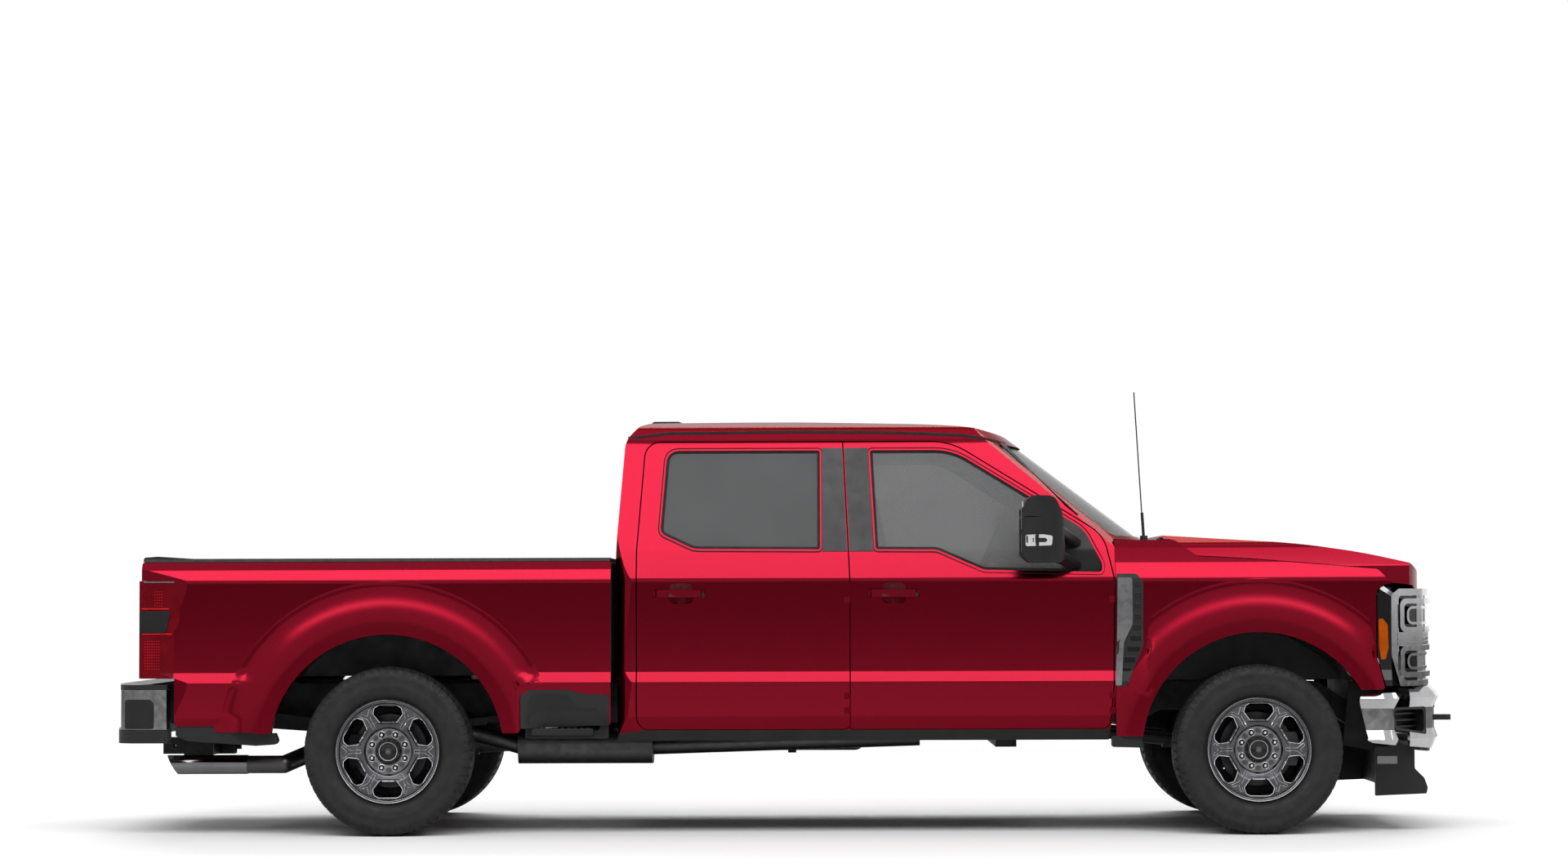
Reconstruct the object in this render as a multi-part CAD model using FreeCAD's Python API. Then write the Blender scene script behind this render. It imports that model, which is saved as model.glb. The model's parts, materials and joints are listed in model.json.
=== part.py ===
"""Crew-cab pickup truck with single rear wheels and a 2.05 m bed.

Every station along the truck (x) is measured forward from the rear axle, every
height (z) from the ground, and y is positive to the left. The finished solids are
moved so that x = 0 lies midway between the rear bumper and the tow hooks.
"""
import FreeCAD
import Part
import math
import os

V = FreeCAD.Vector

# Overall sizes
WHEELBASE = 4059.0
REAR_OVERHANG = 1321.0
FRONT_OVERHANG = 985.0
BODY_WIDTH = 2032.0
ROOF_Z = 1955.0
FRONT_TRACK = 1735.0
REAR_TRACK = 1707.0

# Wheels
TYRE_RADIUS = 394.0
TYRE_WIDTH = 272.0
RIM_RADIUS = 243.0
RIM_WIDTH = 226.0
RIM_WALL = 9.0
RIM_OFFSET = 34.0
WINDOW_COUNT = 6
LUG_CIRCLE_RADIUS = 85.0
LUG_COUNT = 8
LUG_RADIUS = 10.5
HUB_CAP_RADIUS = 56.0
DISC_BRAKE_RADIUS = 172.0
DISC_BRAKE_THICKNESS = 38.0

# Body side, seen from the end: half widths and heights
FLARE_PROUD = 26.0
SIDE_Y = BODY_WIDTH / 2 - FLARE_PROUD
ROCKER_BOTTOM_Z = 440.0
DOOR_BOTTOM_Z = 493.0
CREASE_Z = 764.0
CREASE_DEPTH = 16.0
SHOULDER_Z = 1190.0
BELT_Z = 1325.0
BELT_INSET = 38.0
GLASS_TOP_Z = 1842.0
GLASS_TOP_Y = SIDE_Y - 198
DOOR_THICKNESS = 96.0
PILLAR_THICKNESS = 62.0
ROOF_THICKNESS = 44.0
PANEL_GAP = 6.0
SEAL_STEP = 9.0
HINGE_CLEARANCE = 7.0

# Cab stations
CAB_REAR_X = 1062.0
CAB_ROOF_REAR_X = 1118.0
CAB_FLOOR_Z = 735.0
CAB_FLOOR_THICKNESS = 30.0
FIREWALL_X = 3394.0
FIREWALL_THICKNESS = 60.0
FOOT_RAKE = 30.0
FOOT_RAKE_Z = 690.0
FENDER_FOOT_Z = DOOR_BOTTOM_Z - 34
B_PILLAR_X = 2146.0
REAR_DOOR_REAR_X = 1180.0
WINDSHIELD_BASE_X = 3572.0
WINDSHIELD_BASE_Z = 1405.0
WINDSHIELD_TOP_X = 2985.0
WINDSHIELD_TOP_Z = 1846.0
WINDSHIELD_SWEEP_R = 2900.0
GLASS_THICKNESS = 6.0

# Bed
BED_FRONT_X = 1042.0
BED_REAR_X = -1150.0
BED_RAIL_Z = 1280.0
BED_FLOOR_Z = 775.0
BED_FLOOR_THICKNESS = 34.0
BED_WALL = 120.0
BED_FRONT_WALL = 55.0
WHEELHOUSE_CLEARANCE = 72.5
WHEELHOUSE_Y = REAR_TRACK / 2 - TYRE_WIDTH / 2 - WHEELHOUSE_CLEARANCE
WHEELHOUSE_WALL = 14.0
WHEELHOUSE_RADIUS = 575.0
BED_BOTTOM_Z = 514.0
ARCH_FOOT_Z = 481.0
CAP_THICKNESS = 16.0
TAILGATE_THICKNESS = 62.0
TAILGATE_HALF_WIDTH = SIDE_Y - 215
TAILGATE_TOP_Z = 1288.0
TAILGATE_HINGE_Z = 757.0

# Wheel arches
ARCH_RADIUS = 545.0
FLARE_RADIUS = 690.0
FLARE_FACE_RADIUS = 612.0

# Front end
HOOD_REAR_X = 3645.0
HOOD_NOSE_X = 4925.0
HOOD_REAR_Z = 1396.0
HOOD_MID_Z = 1337.0
HOOD_NOSE_Z = 1140.0
HOOD_HALF_WIDTH = SIDE_Y - 148
HOOD_THICKNESS = 22.0
FENDER_TOP_REAR_Z = 1372.0
FENDER_TOP_MID_Z = 1286.0
FENDER_TOP_FRONT_Z = 1232.0
FENDER_WALL = 30.0
FENDER_FRONT_X = 4700.0
FENDER_BOTTOM_FRONT_Z = 672.0
GRILLE_FRONT_X = 4985.0
NOSE_SWEEP_R = 2600.0
BUMPER_FRONT_X = 5018.0
BUMPER_TOP_Z = 682.0
BUMPER_BOTTOM_Z = 387.0
BUMPER_SWEEP_R = 2800.0
BUMPER_SIDE_Y = SIDE_Y + 8
BUMPER_BEND_X = 4672.0
BUMPER_BEND_Y = SIDE_Y - 290
BUMPER_WALL = 52.0
HOOK_Y = 420.0
BUMPER_REAR_X = 4527.0
LAMP_REAR_X = 4613.0
LAMP_BEND_Z = 830.0
LAMP_FOOT_X = 4649.0
LAMP_BEZEL_X = 4678.0
FRAME_START_X = 4722.0
NOSE_BEND_X = 4700.0
NOSE_BEND_Y = SIDE_Y - 200

# Chassis
FRAME_RAIL_Y = 430.0
FRAME_RAIL_WIDTH = 78.0
FRAME_RAIL_HEIGHT = 190.0
FRAME_RAIL_TOP_Z = 700.0
AXLE_TUBE_RADIUS = 48.0
KINGPIN_INSET = 140.0

# Small running clearance between pieces that seat on each other
SEAT = 0.3

FRONT_AXLE = WHEELBASE
FRONT_END = WHEELBASE + FRONT_OVERHANG
ORIGIN_X = (FRONT_END - REAR_OVERHANG) / 2

# Door and window outlines, seen from the side
REAR_DOOR_OUTLINE = [
    (B_PILLAR_X + 12, DOOR_BOTTOM_Z, 30), (REAR_DOOR_REAR_X - 18, DOOR_BOTTOM_Z, 60),
    (REAR_DOOR_REAR_X - 18, BELT_Z, 400), (REAR_DOOR_REAR_X + 20, GLASS_TOP_Z, 75),
    (B_PILLAR_X - 18, GLASS_TOP_Z, 6), (B_PILLAR_X + 12, SHOULDER_Z, 200)]
FRONT_DOOR_OUTLINE = [
    (B_PILLAR_X + 12, DOOR_BOTTOM_Z, 12), (B_PILLAR_X + 12, SHOULDER_Z, 200),
    (B_PILLAR_X - 18, GLASS_TOP_Z, 6), (FIREWALL_X - 760, GLASS_TOP_Z, 330),
    (FIREWALL_X - 50, BELT_Z + 72, 170), (FIREWALL_X - 3, SHOULDER_Z, 300),
    (FIREWALL_X - 8, CREASE_Z - 60, 300), (FIREWALL_X - 27, DOOR_BOTTOM_Z, 40)]
REAR_WINDOW_OUTLINE = [
    (B_PILLAR_X - 126, BELT_Z + 6, 12), (REAR_DOOR_REAR_X + 250, BELT_Z + 10, 120),
    (REAR_DOOR_REAR_X + 92, BELT_Z + 84, 40), (REAR_DOOR_REAR_X + 122, GLASS_TOP_Z - 42, 60),
    (B_PILLAR_X - 126, GLASS_TOP_Z - 42, 10)]
FRONT_WINDOW_OUTLINE = [
    (B_PILLAR_X + 134, BELT_Z + 6, 12), (B_PILLAR_X + 110, GLASS_TOP_Z - 42, 12),
    (FIREWALL_X - 750, GLASS_TOP_Z - 42, 300), (FIREWALL_X - 140, BELT_Z + 98, 160),
    (FIREWALL_X - 58, SHOULDER_Z + 70, 60), (FIREWALL_X - 62, SHOULDER_Z + 32, 16),
    (FIREWALL_X - 610, SHOULDER_Z + 44, 80), (B_PILLAR_X + 420, BELT_Z + 4, 80)]
DOOR_SKIN_DEPTH = 44.0
DOOR_INNER_STEP = 52.0
DOOR_AXIS_INSET = 2.0
DOOR_BARREL_R = 2.4
KNUCKLE_REACH = 28.0
HINGE_HEIGHTS = (SHOULDER_Z - 60.0, CREASE_Z - 150.0)
FRONT_HINGE_X = FIREWALL_X - 2.5
REAR_HINGE_X = B_PILLAR_X + 12.0

# Cab openings and door handles
SILL_WIDTH = 170.0
WINDSHIELD_MARGIN = 70.0
HANDLE_Z = 1126.0
HANDLE_LENGTH = 238.0
HANDLE_PROUD = 34.0

# Hood hinges, liners and grille
HOOD_AXIS_X = HOOD_REAR_X - 5.0
HOOD_AXIS_Z = HOOD_REAR_Z - 12.0
HOOD_BARREL_R = 4.6
HOOD_HINGE_Y = 560.0
FENDER_INNER_Y = HOOD_HALF_WIDTH + 4.0
LINER_WALL = 5.0
APRON_Y = 500.0
GRILLE_HALF_WIDTH = SIDE_Y - 300
GRILLE_TOP_Z = 1118.0
GRILLE_BOTTOM_Z = 686.0

# Tail lamps, tailgate pins, hitch and rear bumper
TAIL_LAMP_DEPTH = 176.0
TAIL_LAMP_BOTTOM_Z = 738.0
TAIL_LAMP_TOP_Z = 1195.0
TAIL_LAMP_INNER_Y = SIDE_Y - 168
BED_SKIN = 26.0
BED_TAIL_CUT_X = -994.0
BED_BEND_X = -921.0
BED_TAIL_TAPER = 26.0
TAILGATE_X = BED_REAR_X + TAILGATE_THICKNESS / 2 - 6
TAILGATE_KNUCKLE_R = TAILGATE_THICKNESS / 2 + 16
BALL_HOLE_X = 102.0
BALL_HOLE_RADIUS = 38.5
TRUNNION_R = 13.0
RECEIVER_SIZE = 64.0
RECEIVER_WALL = 8.0
RECEIVER_Z = 388.0
RECEIVER_PIN_R = 8.0
BUMPER_HALF_WIDTH = SIDE_Y - 14
BUMPER_SIDE_FRONT_X = -1022.0
BUMPER_CORNER_X = -1252.0
BUMPER_CHROME_Z = 500.0
BUMPER_PAD_Z = 684.0
BUMPER_LIP_Z = 436.0
RAIL_BOTTOM_Z = FRAME_RAIL_TOP_Z - FRAME_RAIL_HEIGHT

# Frame, engine, drivetrain, axles, springs and exhaust
FRAME_REAR_X = -1100.0
FRAME_FRONT_X = FRONT_AXLE + 840.0
CROSS_X = 2860.0
CROSS_LENGTH = 100.0
CROSS_TOP_Z = 448.0
ENGINE_X = 3500.0
ENGINE_LENGTH = 800.0
ENGINE_HALF_WIDTH = 330.0
ENGINE_BOTTOM_Z = 560.0
ENGINE_TOP_Z = 1130.0
LEAF_Y = 512.0
LEAF_WIDTH = 76.0
LEAF_FRONT_X = 700.0
LEAF_REAR_X = -690.0
LEAF_EYE_Z = 560.0
LEAF_THICKNESS = 12.0
LEAF_COUNT = 4
TIE_BAR_Z = 1112.0
GRILLE_DEPTH = 120.0
RADIATOR_X = LAMP_REAR_X - 44
GEARBOX_Z = 585.0
PINION_REACH = 250.0
DIFF_NOSE_X = 250.0
FRONT_DIFF_Y = 215.0
REAR_DIFF_RADIUS = 158.0
FRONT_DIFF_RADIUS = 128.0
KINGPIN_Y = FRONT_TRACK / 2 - KINGPIN_INSET
HUB_FACE_FRONT = FRONT_TRACK / 2 + RIM_OFFSET
HUB_FACE_REAR = REAR_TRACK / 2 + RIM_OFFSET
YOKE_HALF = 92.0
HUB_RADIUS = 70.0
BEARING_GAP = 0.5
COIL_Y = 545.0
COIL_RADIUS = 62.0
COIL_BOTTOM_Z = 470.0
COIL_TOP_Z = 700.0
LEAF_PAD_Z = 470.0
MUFFLER_Y = -255.0
MUFFLER_Z = 392.0
TIP_Y = -700.0
TIP_Z = 325.0
TIP_LENGTH = 382.0
PIPE_RADIUS = 42.0

# Wheel details, brakes, steering linkage and steering wheel
BEAD_RADIUS = 229.0
WELL_RADIUS = 216.0
HUB_LENGTH = 100.0
SPOKE_GROOVE = [(124, -6), (176, -7), (206, -30), (213, -22), (190, 0), (213, 22), (206, 30), (176, 7),
                (124, 6)]
DISC_OUT = RIM_OFFSET - 48.0
DISC_IN = DISC_OUT - DISC_BRAKE_THICKNESS
CALIPER_GAP = 4.0
ARM_LENGTH = 200.0
TIE_ROD_Z = 300.0
TIE_ROD_RADIUS = 15.0
BALL_RADIUS = 20.0
KINGPIN_RADIUS = 30.0
STEERING_WHEEL_X = 2888.0
STEERING_WHEEL_Y = 425.0
STEERING_WHEEL_Z = 1352.0
STEERING_WHEEL_RADIUS = 185.0
COLUMN_TILT = 24.0

# Dashboard and seats
DASH_REAR_X = 3085.0
DASH_TOP_Z = 1388.0
SEAT_Z = 1110.0
FRONT_SEAT_X = 2330.0
FRONT_SEAT_Y = 425.0
REAR_SEAT_X = 1400.0

# Mirrors and antennas
MIRROR_OUTER_Y = SIDE_Y + 345
MIRROR_X = 2938.0
MIRROR_DEPTH = 209.0
MIRROR_LOW_Z = 1264.0
MIRROR_HIGH_Z = 1571.0
MIRROR_SEAM_Z = 1471.0
SAIL_X = 3160.0
ANTENNA_Y = FENDER_INNER_Y + 22.0
ANTENNA_TOP_Z = 2066.0


def on_xz(y=0.0):
    return lambda a, b: V(a, y, b)


def on_yz(x=0.0):
    return lambda a, b: V(x, a, b)


def on_xy(z=0.0):
    return lambda a, b: V(a, b, z)


def outline(points, place):
    """Closed wire through (a, b) points; a third number rounds that corner."""
    count = len(points)
    starts, ends = [], []
    for i, p in enumerate(points):
        here = V(p[0], p[1], 0)
        radius = p[2] if len(p) > 2 else 0.0
        if radius <= 0:
            starts.append(here)
            ends.append(here)
            continue
        before = V(points[i - 1][0], points[i - 1][1], 0) - here
        after = V(points[(i + 1) % count][0], points[(i + 1) % count][1], 0) - here
        half = before.getAngle(after) / 2
        reach = radius / math.tan(half)
        reach = min(reach, 0.48 * before.Length, 0.48 * after.Length)
        starts.append(here + before.normalize() * reach)
        ends.append(here + after.normalize() * reach)
    edges = []
    for i, p in enumerate(points):
        here = V(p[0], p[1], 0)
        if (starts[i] - ends[i]).Length > 1e-6:
            radius_now = (starts[i] - here).Length * math.tan((starts[i] - here).getAngle(ends[i] - here) / 2)
            middle = (starts[i] + ends[i]) * 0.5
            out = here - middle
            half_chord = (starts[i] - ends[i]).Length / 2
            rise = radius_now - math.sqrt(max(radius_now ** 2 - half_chord ** 2, 0.0))
            top = middle + out.normalize() * rise
            edges.append(Part.Arc(place(starts[i].x, starts[i].y), place(top.x, top.y),
                                  place(ends[i].x, ends[i].y)).toShape())
        nxt = starts[(i + 1) % count]
        if (nxt - ends[i]).Length > 1e-6:
            edges.append(Part.makeLine(place(ends[i].x, ends[i].y), place(nxt.x, nxt.y)))
    return Part.Wire(edges)


def plate_y(points, y0, y1):
    """Side-view outline (x, z) pulled from y0 to y1."""
    return Part.Face(outline(points, on_xz(y0))).extrude(V(0, y1 - y0, 0))


def plate_x(points, x0, x1):
    """End-view outline (y, z) pulled from x0 to x1."""
    return Part.Face(outline(points, on_yz(x0))).extrude(V(x1 - x0, 0, 0))


def plate_z(points, z0, z1):
    """Plan outline (x, y) pulled from z0 to z1."""
    return Part.Face(outline(points, on_xy(z0))).extrude(V(0, 0, z1 - z0))


def block(x0, x1, y0, y1, z0, z1):
    return Part.makeBox(x1 - x0, y1 - y0, z1 - z0, V(x0, y0, z0))


def rod(start, end, radius):
    line = V(*end) - V(*start)
    return Part.makeCylinder(radius, line.Length, V(*start), line)


def tube(start, end, outer, inner):
    return rod(start, end, outer).cut(rod(start, end, inner))


def across(x, z, radius, y0, y1):
    """Cylinder that lies across the truck."""
    return rod((x, y0, z), (x, y1, z), radius)


def turned(points, x, y, z, axis):
    """Profile (radius, distance along the axis) turned about an axis through x, y, z."""
    frame = {"y": lambda a, b: V(x + a, y + b, z), "z": lambda a, b: V(x + a, y, z + b)}[axis]
    direction = {"y": V(0, 1, 0), "z": V(0, 0, 1)}[axis]
    return Part.Face(outline(points, frame)).revolve(V(x, y, z), direction, 360)


def join(*shapes):
    flat = [s for s in shapes if s is not None]
    result = flat[0]
    if len(flat) > 1:
        result = flat[0].fuse(flat[1:])
    return result.removeSplitter()


def mirrored(shape):
    return shape.mirror(V(0, 0, 0), V(0, 1, 0))


def both(shape):
    """The shape and its mirror image on the other side of the truck."""
    return [shape, mirrored(shape)]


PIECES = {}


def keep(node, *shapes):
    solids = []
    for shape in shapes:
        group = shape if isinstance(shape, (list, tuple)) else [shape]
        for item in group:
            solids.extend(item.Solids)
    PIECES.setdefault(node, []).extend(solids)


# Shapes that the body panels are cut from

def both_sides(half):
    """Closed end-view outline from its left half, bottom to top."""
    right = [(-p[0],) + tuple(p[1:]) for p in reversed(half)]
    return half + right


def skin_half(inset):
    """Left half of the body side from the rocker to the belt."""
    side = SIDE_Y - inset
    return [(side - 70, ROCKER_BOTTOM_Z),
            (side - 34, DOOR_BOTTOM_Z, 20),
            (side - 8, DOOR_BOTTOM_Z + 60, 40),
            (side, CREASE_Z - 50, 10),
            (side - CREASE_DEPTH, CREASE_Z, 12),
            (side, SHOULDER_Z, 60),
            (side - BELT_INSET, BELT_Z, 60)]


def core_half(inset_low, inset_high, bottom, top):
    """Left half of the space inside the doors and pillars."""
    return [(SIDE_Y - inset_low, bottom),
            (SIDE_Y - inset_low, BELT_Z - 40, 60),
            (GLASS_TOP_Y - inset_high, GLASS_TOP_Z, 20),
            (GLASS_TOP_Y - inset_high - 40, top)]


def windshield_cut(depth):
    """Leaning cylinder whose front follows the swept windshield, moved in by depth."""
    base = V(WINDSHIELD_BASE_X, 0, WINDSHIELD_BASE_Z)
    slope = V(WINDSHIELD_TOP_X, 0, WINDSHIELD_TOP_Z) - base
    inward = V(-slope.z, 0, slope.x).normalize()
    if inward.z > 0:
        inward = inward * -1
    axis = base + inward * (WINDSHIELD_SWEEP_R + depth) - slope * 3
    return Part.makeCylinder(WINDSHIELD_SWEEP_R, slope.Length * 7, axis, slope)


def cab_side(rear, roof):
    """Side view of the cab, moved in by rear and roof."""
    return [(CAB_REAR_X + 12 + rear, ROCKER_BOTTOM_Z),
            (CAB_REAR_X + rear, BELT_Z - 35, 200),
            (CAB_ROOF_REAR_X - 14 + rear, GLASS_TOP_Z + 10, 120),
            (CAB_ROOF_REAR_X + 70 + rear, ROOF_Z - 10 - roof, 90),
            (CAB_ROOF_REAR_X + 700, ROOF_Z - roof, 3000),
            (WINDSHIELD_TOP_X - 380, ROOF_Z - 24 - roof, 2500),
            (WINDSHIELD_TOP_X - 20, WINDSHIELD_TOP_Z + 28 - roof, 260),
            (WINDSHIELD_BASE_X + 200, WINDSHIELD_TOP_Z - 320),
            (WINDSHIELD_BASE_X + 200, ROCKER_BOTTOM_Z)]


def fender_foot_x(gap):
    """Rear edge of the fender at the rocker's bottom, where the line to the cab rakes back."""
    return FIREWALL_X - FOOT_RAKE + gap


def cab_solid():
    half = skin_half(0) + [(GLASS_TOP_Y, GLASS_TOP_Z, 90),
                           (GLASS_TOP_Y - 74, ROOF_Z - 40, 90),
                           (GLASS_TOP_Y - 400, ROOF_Z, 1200)]
    body = plate_x(both_sides(half), CAB_REAR_X - 50, WINDSHIELD_BASE_X + 250)
    body = body.common(plate_y(cab_side(0, 0), -BODY_WIDTH, BODY_WIDTH))
    plan = [(CAB_REAR_X, -SIDE_Y - 4, 110), (WINDSHIELD_BASE_X + 300, -SIDE_Y - 4),
            (WINDSHIELD_BASE_X + 300, SIDE_Y + 4), (CAB_REAR_X, SIDE_Y + 4, 110)]
    body = body.common(plate_z(plan, 0, ROOF_Z + 100))
    body = body.common(windshield_cut(0))
    top = FENDER_TOP_REAR_Z + PANEL_GAP
    front = WINDSHIELD_BASE_X + 400
    ahead = plate_y([(FIREWALL_X, top), (FIREWALL_X, FOOT_RAKE_Z), (fender_foot_x(0), ROCKER_BOTTOM_Z),
                     (fender_foot_x(0), 0), (front, 0), (front, top)], -BODY_WIDTH, BODY_WIDTH)
    return body.cut(ahead)


def cab_room():
    """The hollow of the cab, above its floor."""
    half = core_half(DOOR_THICKNESS, PILLAR_THICKNESS, CAB_FLOOR_Z, GLASS_TOP_Z + 10)
    half[3] = (GLASS_TOP_Y - PILLAR_THICKNESS - 60, ROOF_Z - ROOF_THICKNESS - 30, 80)
    half = half + [(GLASS_TOP_Y - 420, ROOF_Z - ROOF_THICKNESS, 900)]
    room = plate_x(both_sides(half), CAB_REAR_X, WINDSHIELD_BASE_X + 250)
    room = room.common(plate_y(cab_side(PILLAR_THICKNESS, ROOF_THICKNESS), -BODY_WIDTH, BODY_WIDTH))
    room = room.common(windshield_cut(ROOF_THICKNESS))
    return room.common(block(CAB_REAR_X, FIREWALL_X - FIREWALL_THICKNESS, -BODY_WIDTH, BODY_WIDTH,
                             0, ROOF_Z))


def door_core(extra):
    """Everything inboard of the doors; extra is the running clearance behind them."""
    half = core_half(DOOR_THICKNESS + extra, PILLAR_THICKNESS + extra, 0, ROOF_Z + 60)
    return plate_x(both_sides(half), CAB_REAR_X - 200, WINDSHIELD_BASE_X + 250)


def skin_core(depth):
    """Everything inboard of a skin of the given depth."""
    half = core_half(depth + BELT_INSET, depth, 0, ROOF_Z + 60)
    half[1] = (SIDE_Y - BELT_INSET - depth, BELT_Z, 60)
    return plate_x(both_sides(half), CAB_REAR_X - 200, WINDSHIELD_BASE_X + 250)


def grown(points, amount):
    """Side-view prism of an outline, larger all round by amount."""
    face = Part.Face(outline(points, on_xz(0)))
    if abs(amount) > 1e-6:
        face = face.makeOffset2D(amount, 2, False, False, False)
    solid = face.extrude(V(0, BODY_WIDTH, 0))
    return solid.Solids[0]


def door_panel(points, window):
    """A whole door: outer skin with its flange, and the inner box behind it."""
    body = cab_solid()
    skin = body.common(grown(points, -PANEL_GAP / 2)).cut(skin_core(DOOR_SKIN_DEPTH))
    inner = body.common(grown(points, -DOOR_INNER_STEP)).cut(door_core(0))
    panel = join(skin, inner)
    return panel.cut(grown(window, 0)).Solids[0]


def door_opening(points):
    """What a door's doorway takes out of the cab side."""
    skin = grown(points, PANEL_GAP / 2).cut(skin_core(DOOR_SKIN_DEPTH + HINGE_CLEARANCE))
    inner = grown(points, -DOOR_INNER_STEP + SEAL_STEP + 1).cut(door_core(20))
    return [skin, inner]


def hinge_barrels(x, z, pillar):
    """Interleaved knuckles of one door hinge: the pillar's middle, or the door's two ends.

    The leaf of each runs inboard from the hinge line, in the gap beside the door.
    """
    y = SIDE_Y - DOOR_AXIS_INSET
    if pillar:
        root = SIDE_Y - BELT_INSET - DOOR_SKIN_DEPTH - HINGE_CLEARANCE - 2
        leaf = block(x - 0.8, x + 0.8, root, y, z - 20, z + 20)
        return join(rod((x, y, z - 20), (x, y, z + 20), DOOR_BARREL_R), leaf)
    ends = []
    for low in (z - 50, z + 20 + SEAT):
        high = low + 30 - SEAT
        ends.append(join(rod((x, y, low), (x, y, high), DOOR_BARREL_R),
                         block(x - KNUCKLE_REACH, x, y - 30, y, low, high)))
    return Part.Compound(ends)


def pane(window):
    """Door glass that follows the lean of the cab side."""
    layer = skin_core(16).cut(skin_core(16 + GLASS_THICKNESS))
    return layer.common(grown(window, -SEAT)).Solids[0]


def flare(x_axle):
    """Raised band round a wheel opening, left side."""
    ring = turned([(ARCH_RADIUS, SIDE_Y - 34), (ARCH_RADIUS, SIDE_Y + FLARE_PROUD - 6, 4),
                   (ARCH_RADIUS + 8, SIDE_Y + FLARE_PROUD, 8),
                   (FLARE_FACE_RADIUS, SIDE_Y + FLARE_PROUD, 60),
                   (FLARE_RADIUS, SIDE_Y - 4), (FLARE_RADIUS, SIDE_Y - 34)],
                  x_axle, 0, TYRE_RADIUS, "y")
    return ring


# Cab, doors and glass

def make_cab():
    shell = cab_solid().cut(cab_room())
    under = block(CAB_REAR_X - 50, FIREWALL_X + 50, -SIDE_Y + SILL_WIDTH,
                  SIDE_Y - SILL_WIDTH, 0, CAB_FLOOR_Z - CAB_FLOOR_THICKNESS)
    shell = shell.cut([under, windshield_opening(), rear_window_opening()])
    cuts = []
    for points in (REAR_DOOR_OUTLINE, FRONT_DOOR_OUTLINE):
        for cut in door_opening(points):
            cuts += both(cut)
    shell = shell.cut(cuts)
    for x in (REAR_HINGE_X, FRONT_HINGE_X):
        for z in HINGE_HEIGHTS:
            for low in (z - 51, z + 20):
                notch = block(x - KNUCKLE_REACH - 2, x + 3.2, SIDE_Y - 36, BODY_WIDTH, low, low + 31)
                shell = shell.cut(both(notch))
            shell = join(shell, *both(hinge_barrels(x, z, True)))
    keep("cab_shell", shell)


def windshield_outline(clearance):
    """Front view of the windshield, inside its surround by clearance."""
    return [(SIDE_Y - BELT_INSET - WINDSHIELD_MARGIN * 2 - clearance, WINDSHIELD_BASE_Z - 10 + clearance, 40),
            (GLASS_TOP_Y - WINDSHIELD_MARGIN - clearance, WINDSHIELD_TOP_Z - 16 - clearance, 60)]


def windshield_opening():
    """The windshield's hole through the leaning front of the cab."""
    ahead = plate_x(both_sides(windshield_outline(0)), WINDSHIELD_TOP_X - 500, WINDSHIELD_BASE_X + 200)
    return ahead.cut(windshield_cut(ROOF_THICKNESS + 20))


def rear_window_opening():
    half = [(GLASS_TOP_Y - 60, BELT_Z + 70, 40), (GLASS_TOP_Y - 110, GLASS_TOP_Z - 40, 60)]
    return plate_x(both_sides(half), CAB_REAR_X - 50, CAB_REAR_X + 140)


def make_cab_glass():
    layer = windshield_cut(10).cut(windshield_cut(10 + GLASS_THICKNESS))
    front = layer.common(plate_x(both_sides(windshield_outline(SEAT)), WINDSHIELD_TOP_X - 500,
                                 WINDSHIELD_BASE_X + 200))
    keep("cab_glass", front.common(cab_solid()))
    half = [(GLASS_TOP_Y - 60 - SEAT, BELT_Z + 70 + SEAT, 40),
            (GLASS_TOP_Y - 110 - SEAT, GLASS_TOP_Z - 40 - SEAT, 60)]
    rear = plate_x(both_sides(half), CAB_REAR_X - 50, CAB_REAR_X + 140)
    outer = plate_y(cab_side(22, 0), -BODY_WIDTH, BODY_WIDTH)
    inner = plate_y(cab_side(22 + GLASS_THICKNESS, 0), -BODY_WIDTH, BODY_WIDTH)
    keep("cab_glass", rear.common(outer).cut(inner))


def make_doors():
    doors = (("rear", REAR_DOOR_OUTLINE, REAR_WINDOW_OUTLINE),
             ("front", FRONT_DOOR_OUTLINE, FRONT_WINDOW_OUTLINE))
    for name, points, window in doors:
        panel = door_panel(points, window)
        glass = pane(window)
        handle = door_handle(name)
        x = {"rear": REAR_HINGE_X, "front": FRONT_HINGE_X}[name]
        knuckles = [hinge_barrels(x, z, False) for z in HINGE_HEIGHTS]
        left = join(panel, handle, *knuckles)
        keep("door_" + name + "_left", left)
        keep("door_" + name + "_right", mirrored(left))
        keep("glass_" + name + "_left", glass)
        keep("glass_" + name + "_right", mirrored(glass))


def door_handle(name):
    """Pull handle: a bar that stands off the skin on two feet."""
    x_rear = {"rear": REAR_DOOR_REAR_X + 62, "front": B_PILLAR_X + 96}[name]
    face = SIDE_Y
    bar = plate_z([(x_rear, face + 12), (x_rear + 20, face + HANDLE_PROUD, 14),
                   (x_rear + HANDLE_LENGTH - 20, face + HANDLE_PROUD, 14),
                   (x_rear + HANDLE_LENGTH, face + 12)], HANDLE_Z - 17, HANDLE_Z + 17)
    feet = [block(x_rear + a, x_rear + a + 40, face - 30, face + 22, HANDLE_Z - 15, HANDLE_Z + 15)
            for a in (2, HANDLE_LENGTH - 42)]
    return join(bar, *feet)


# Hood, fenders and nose

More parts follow.
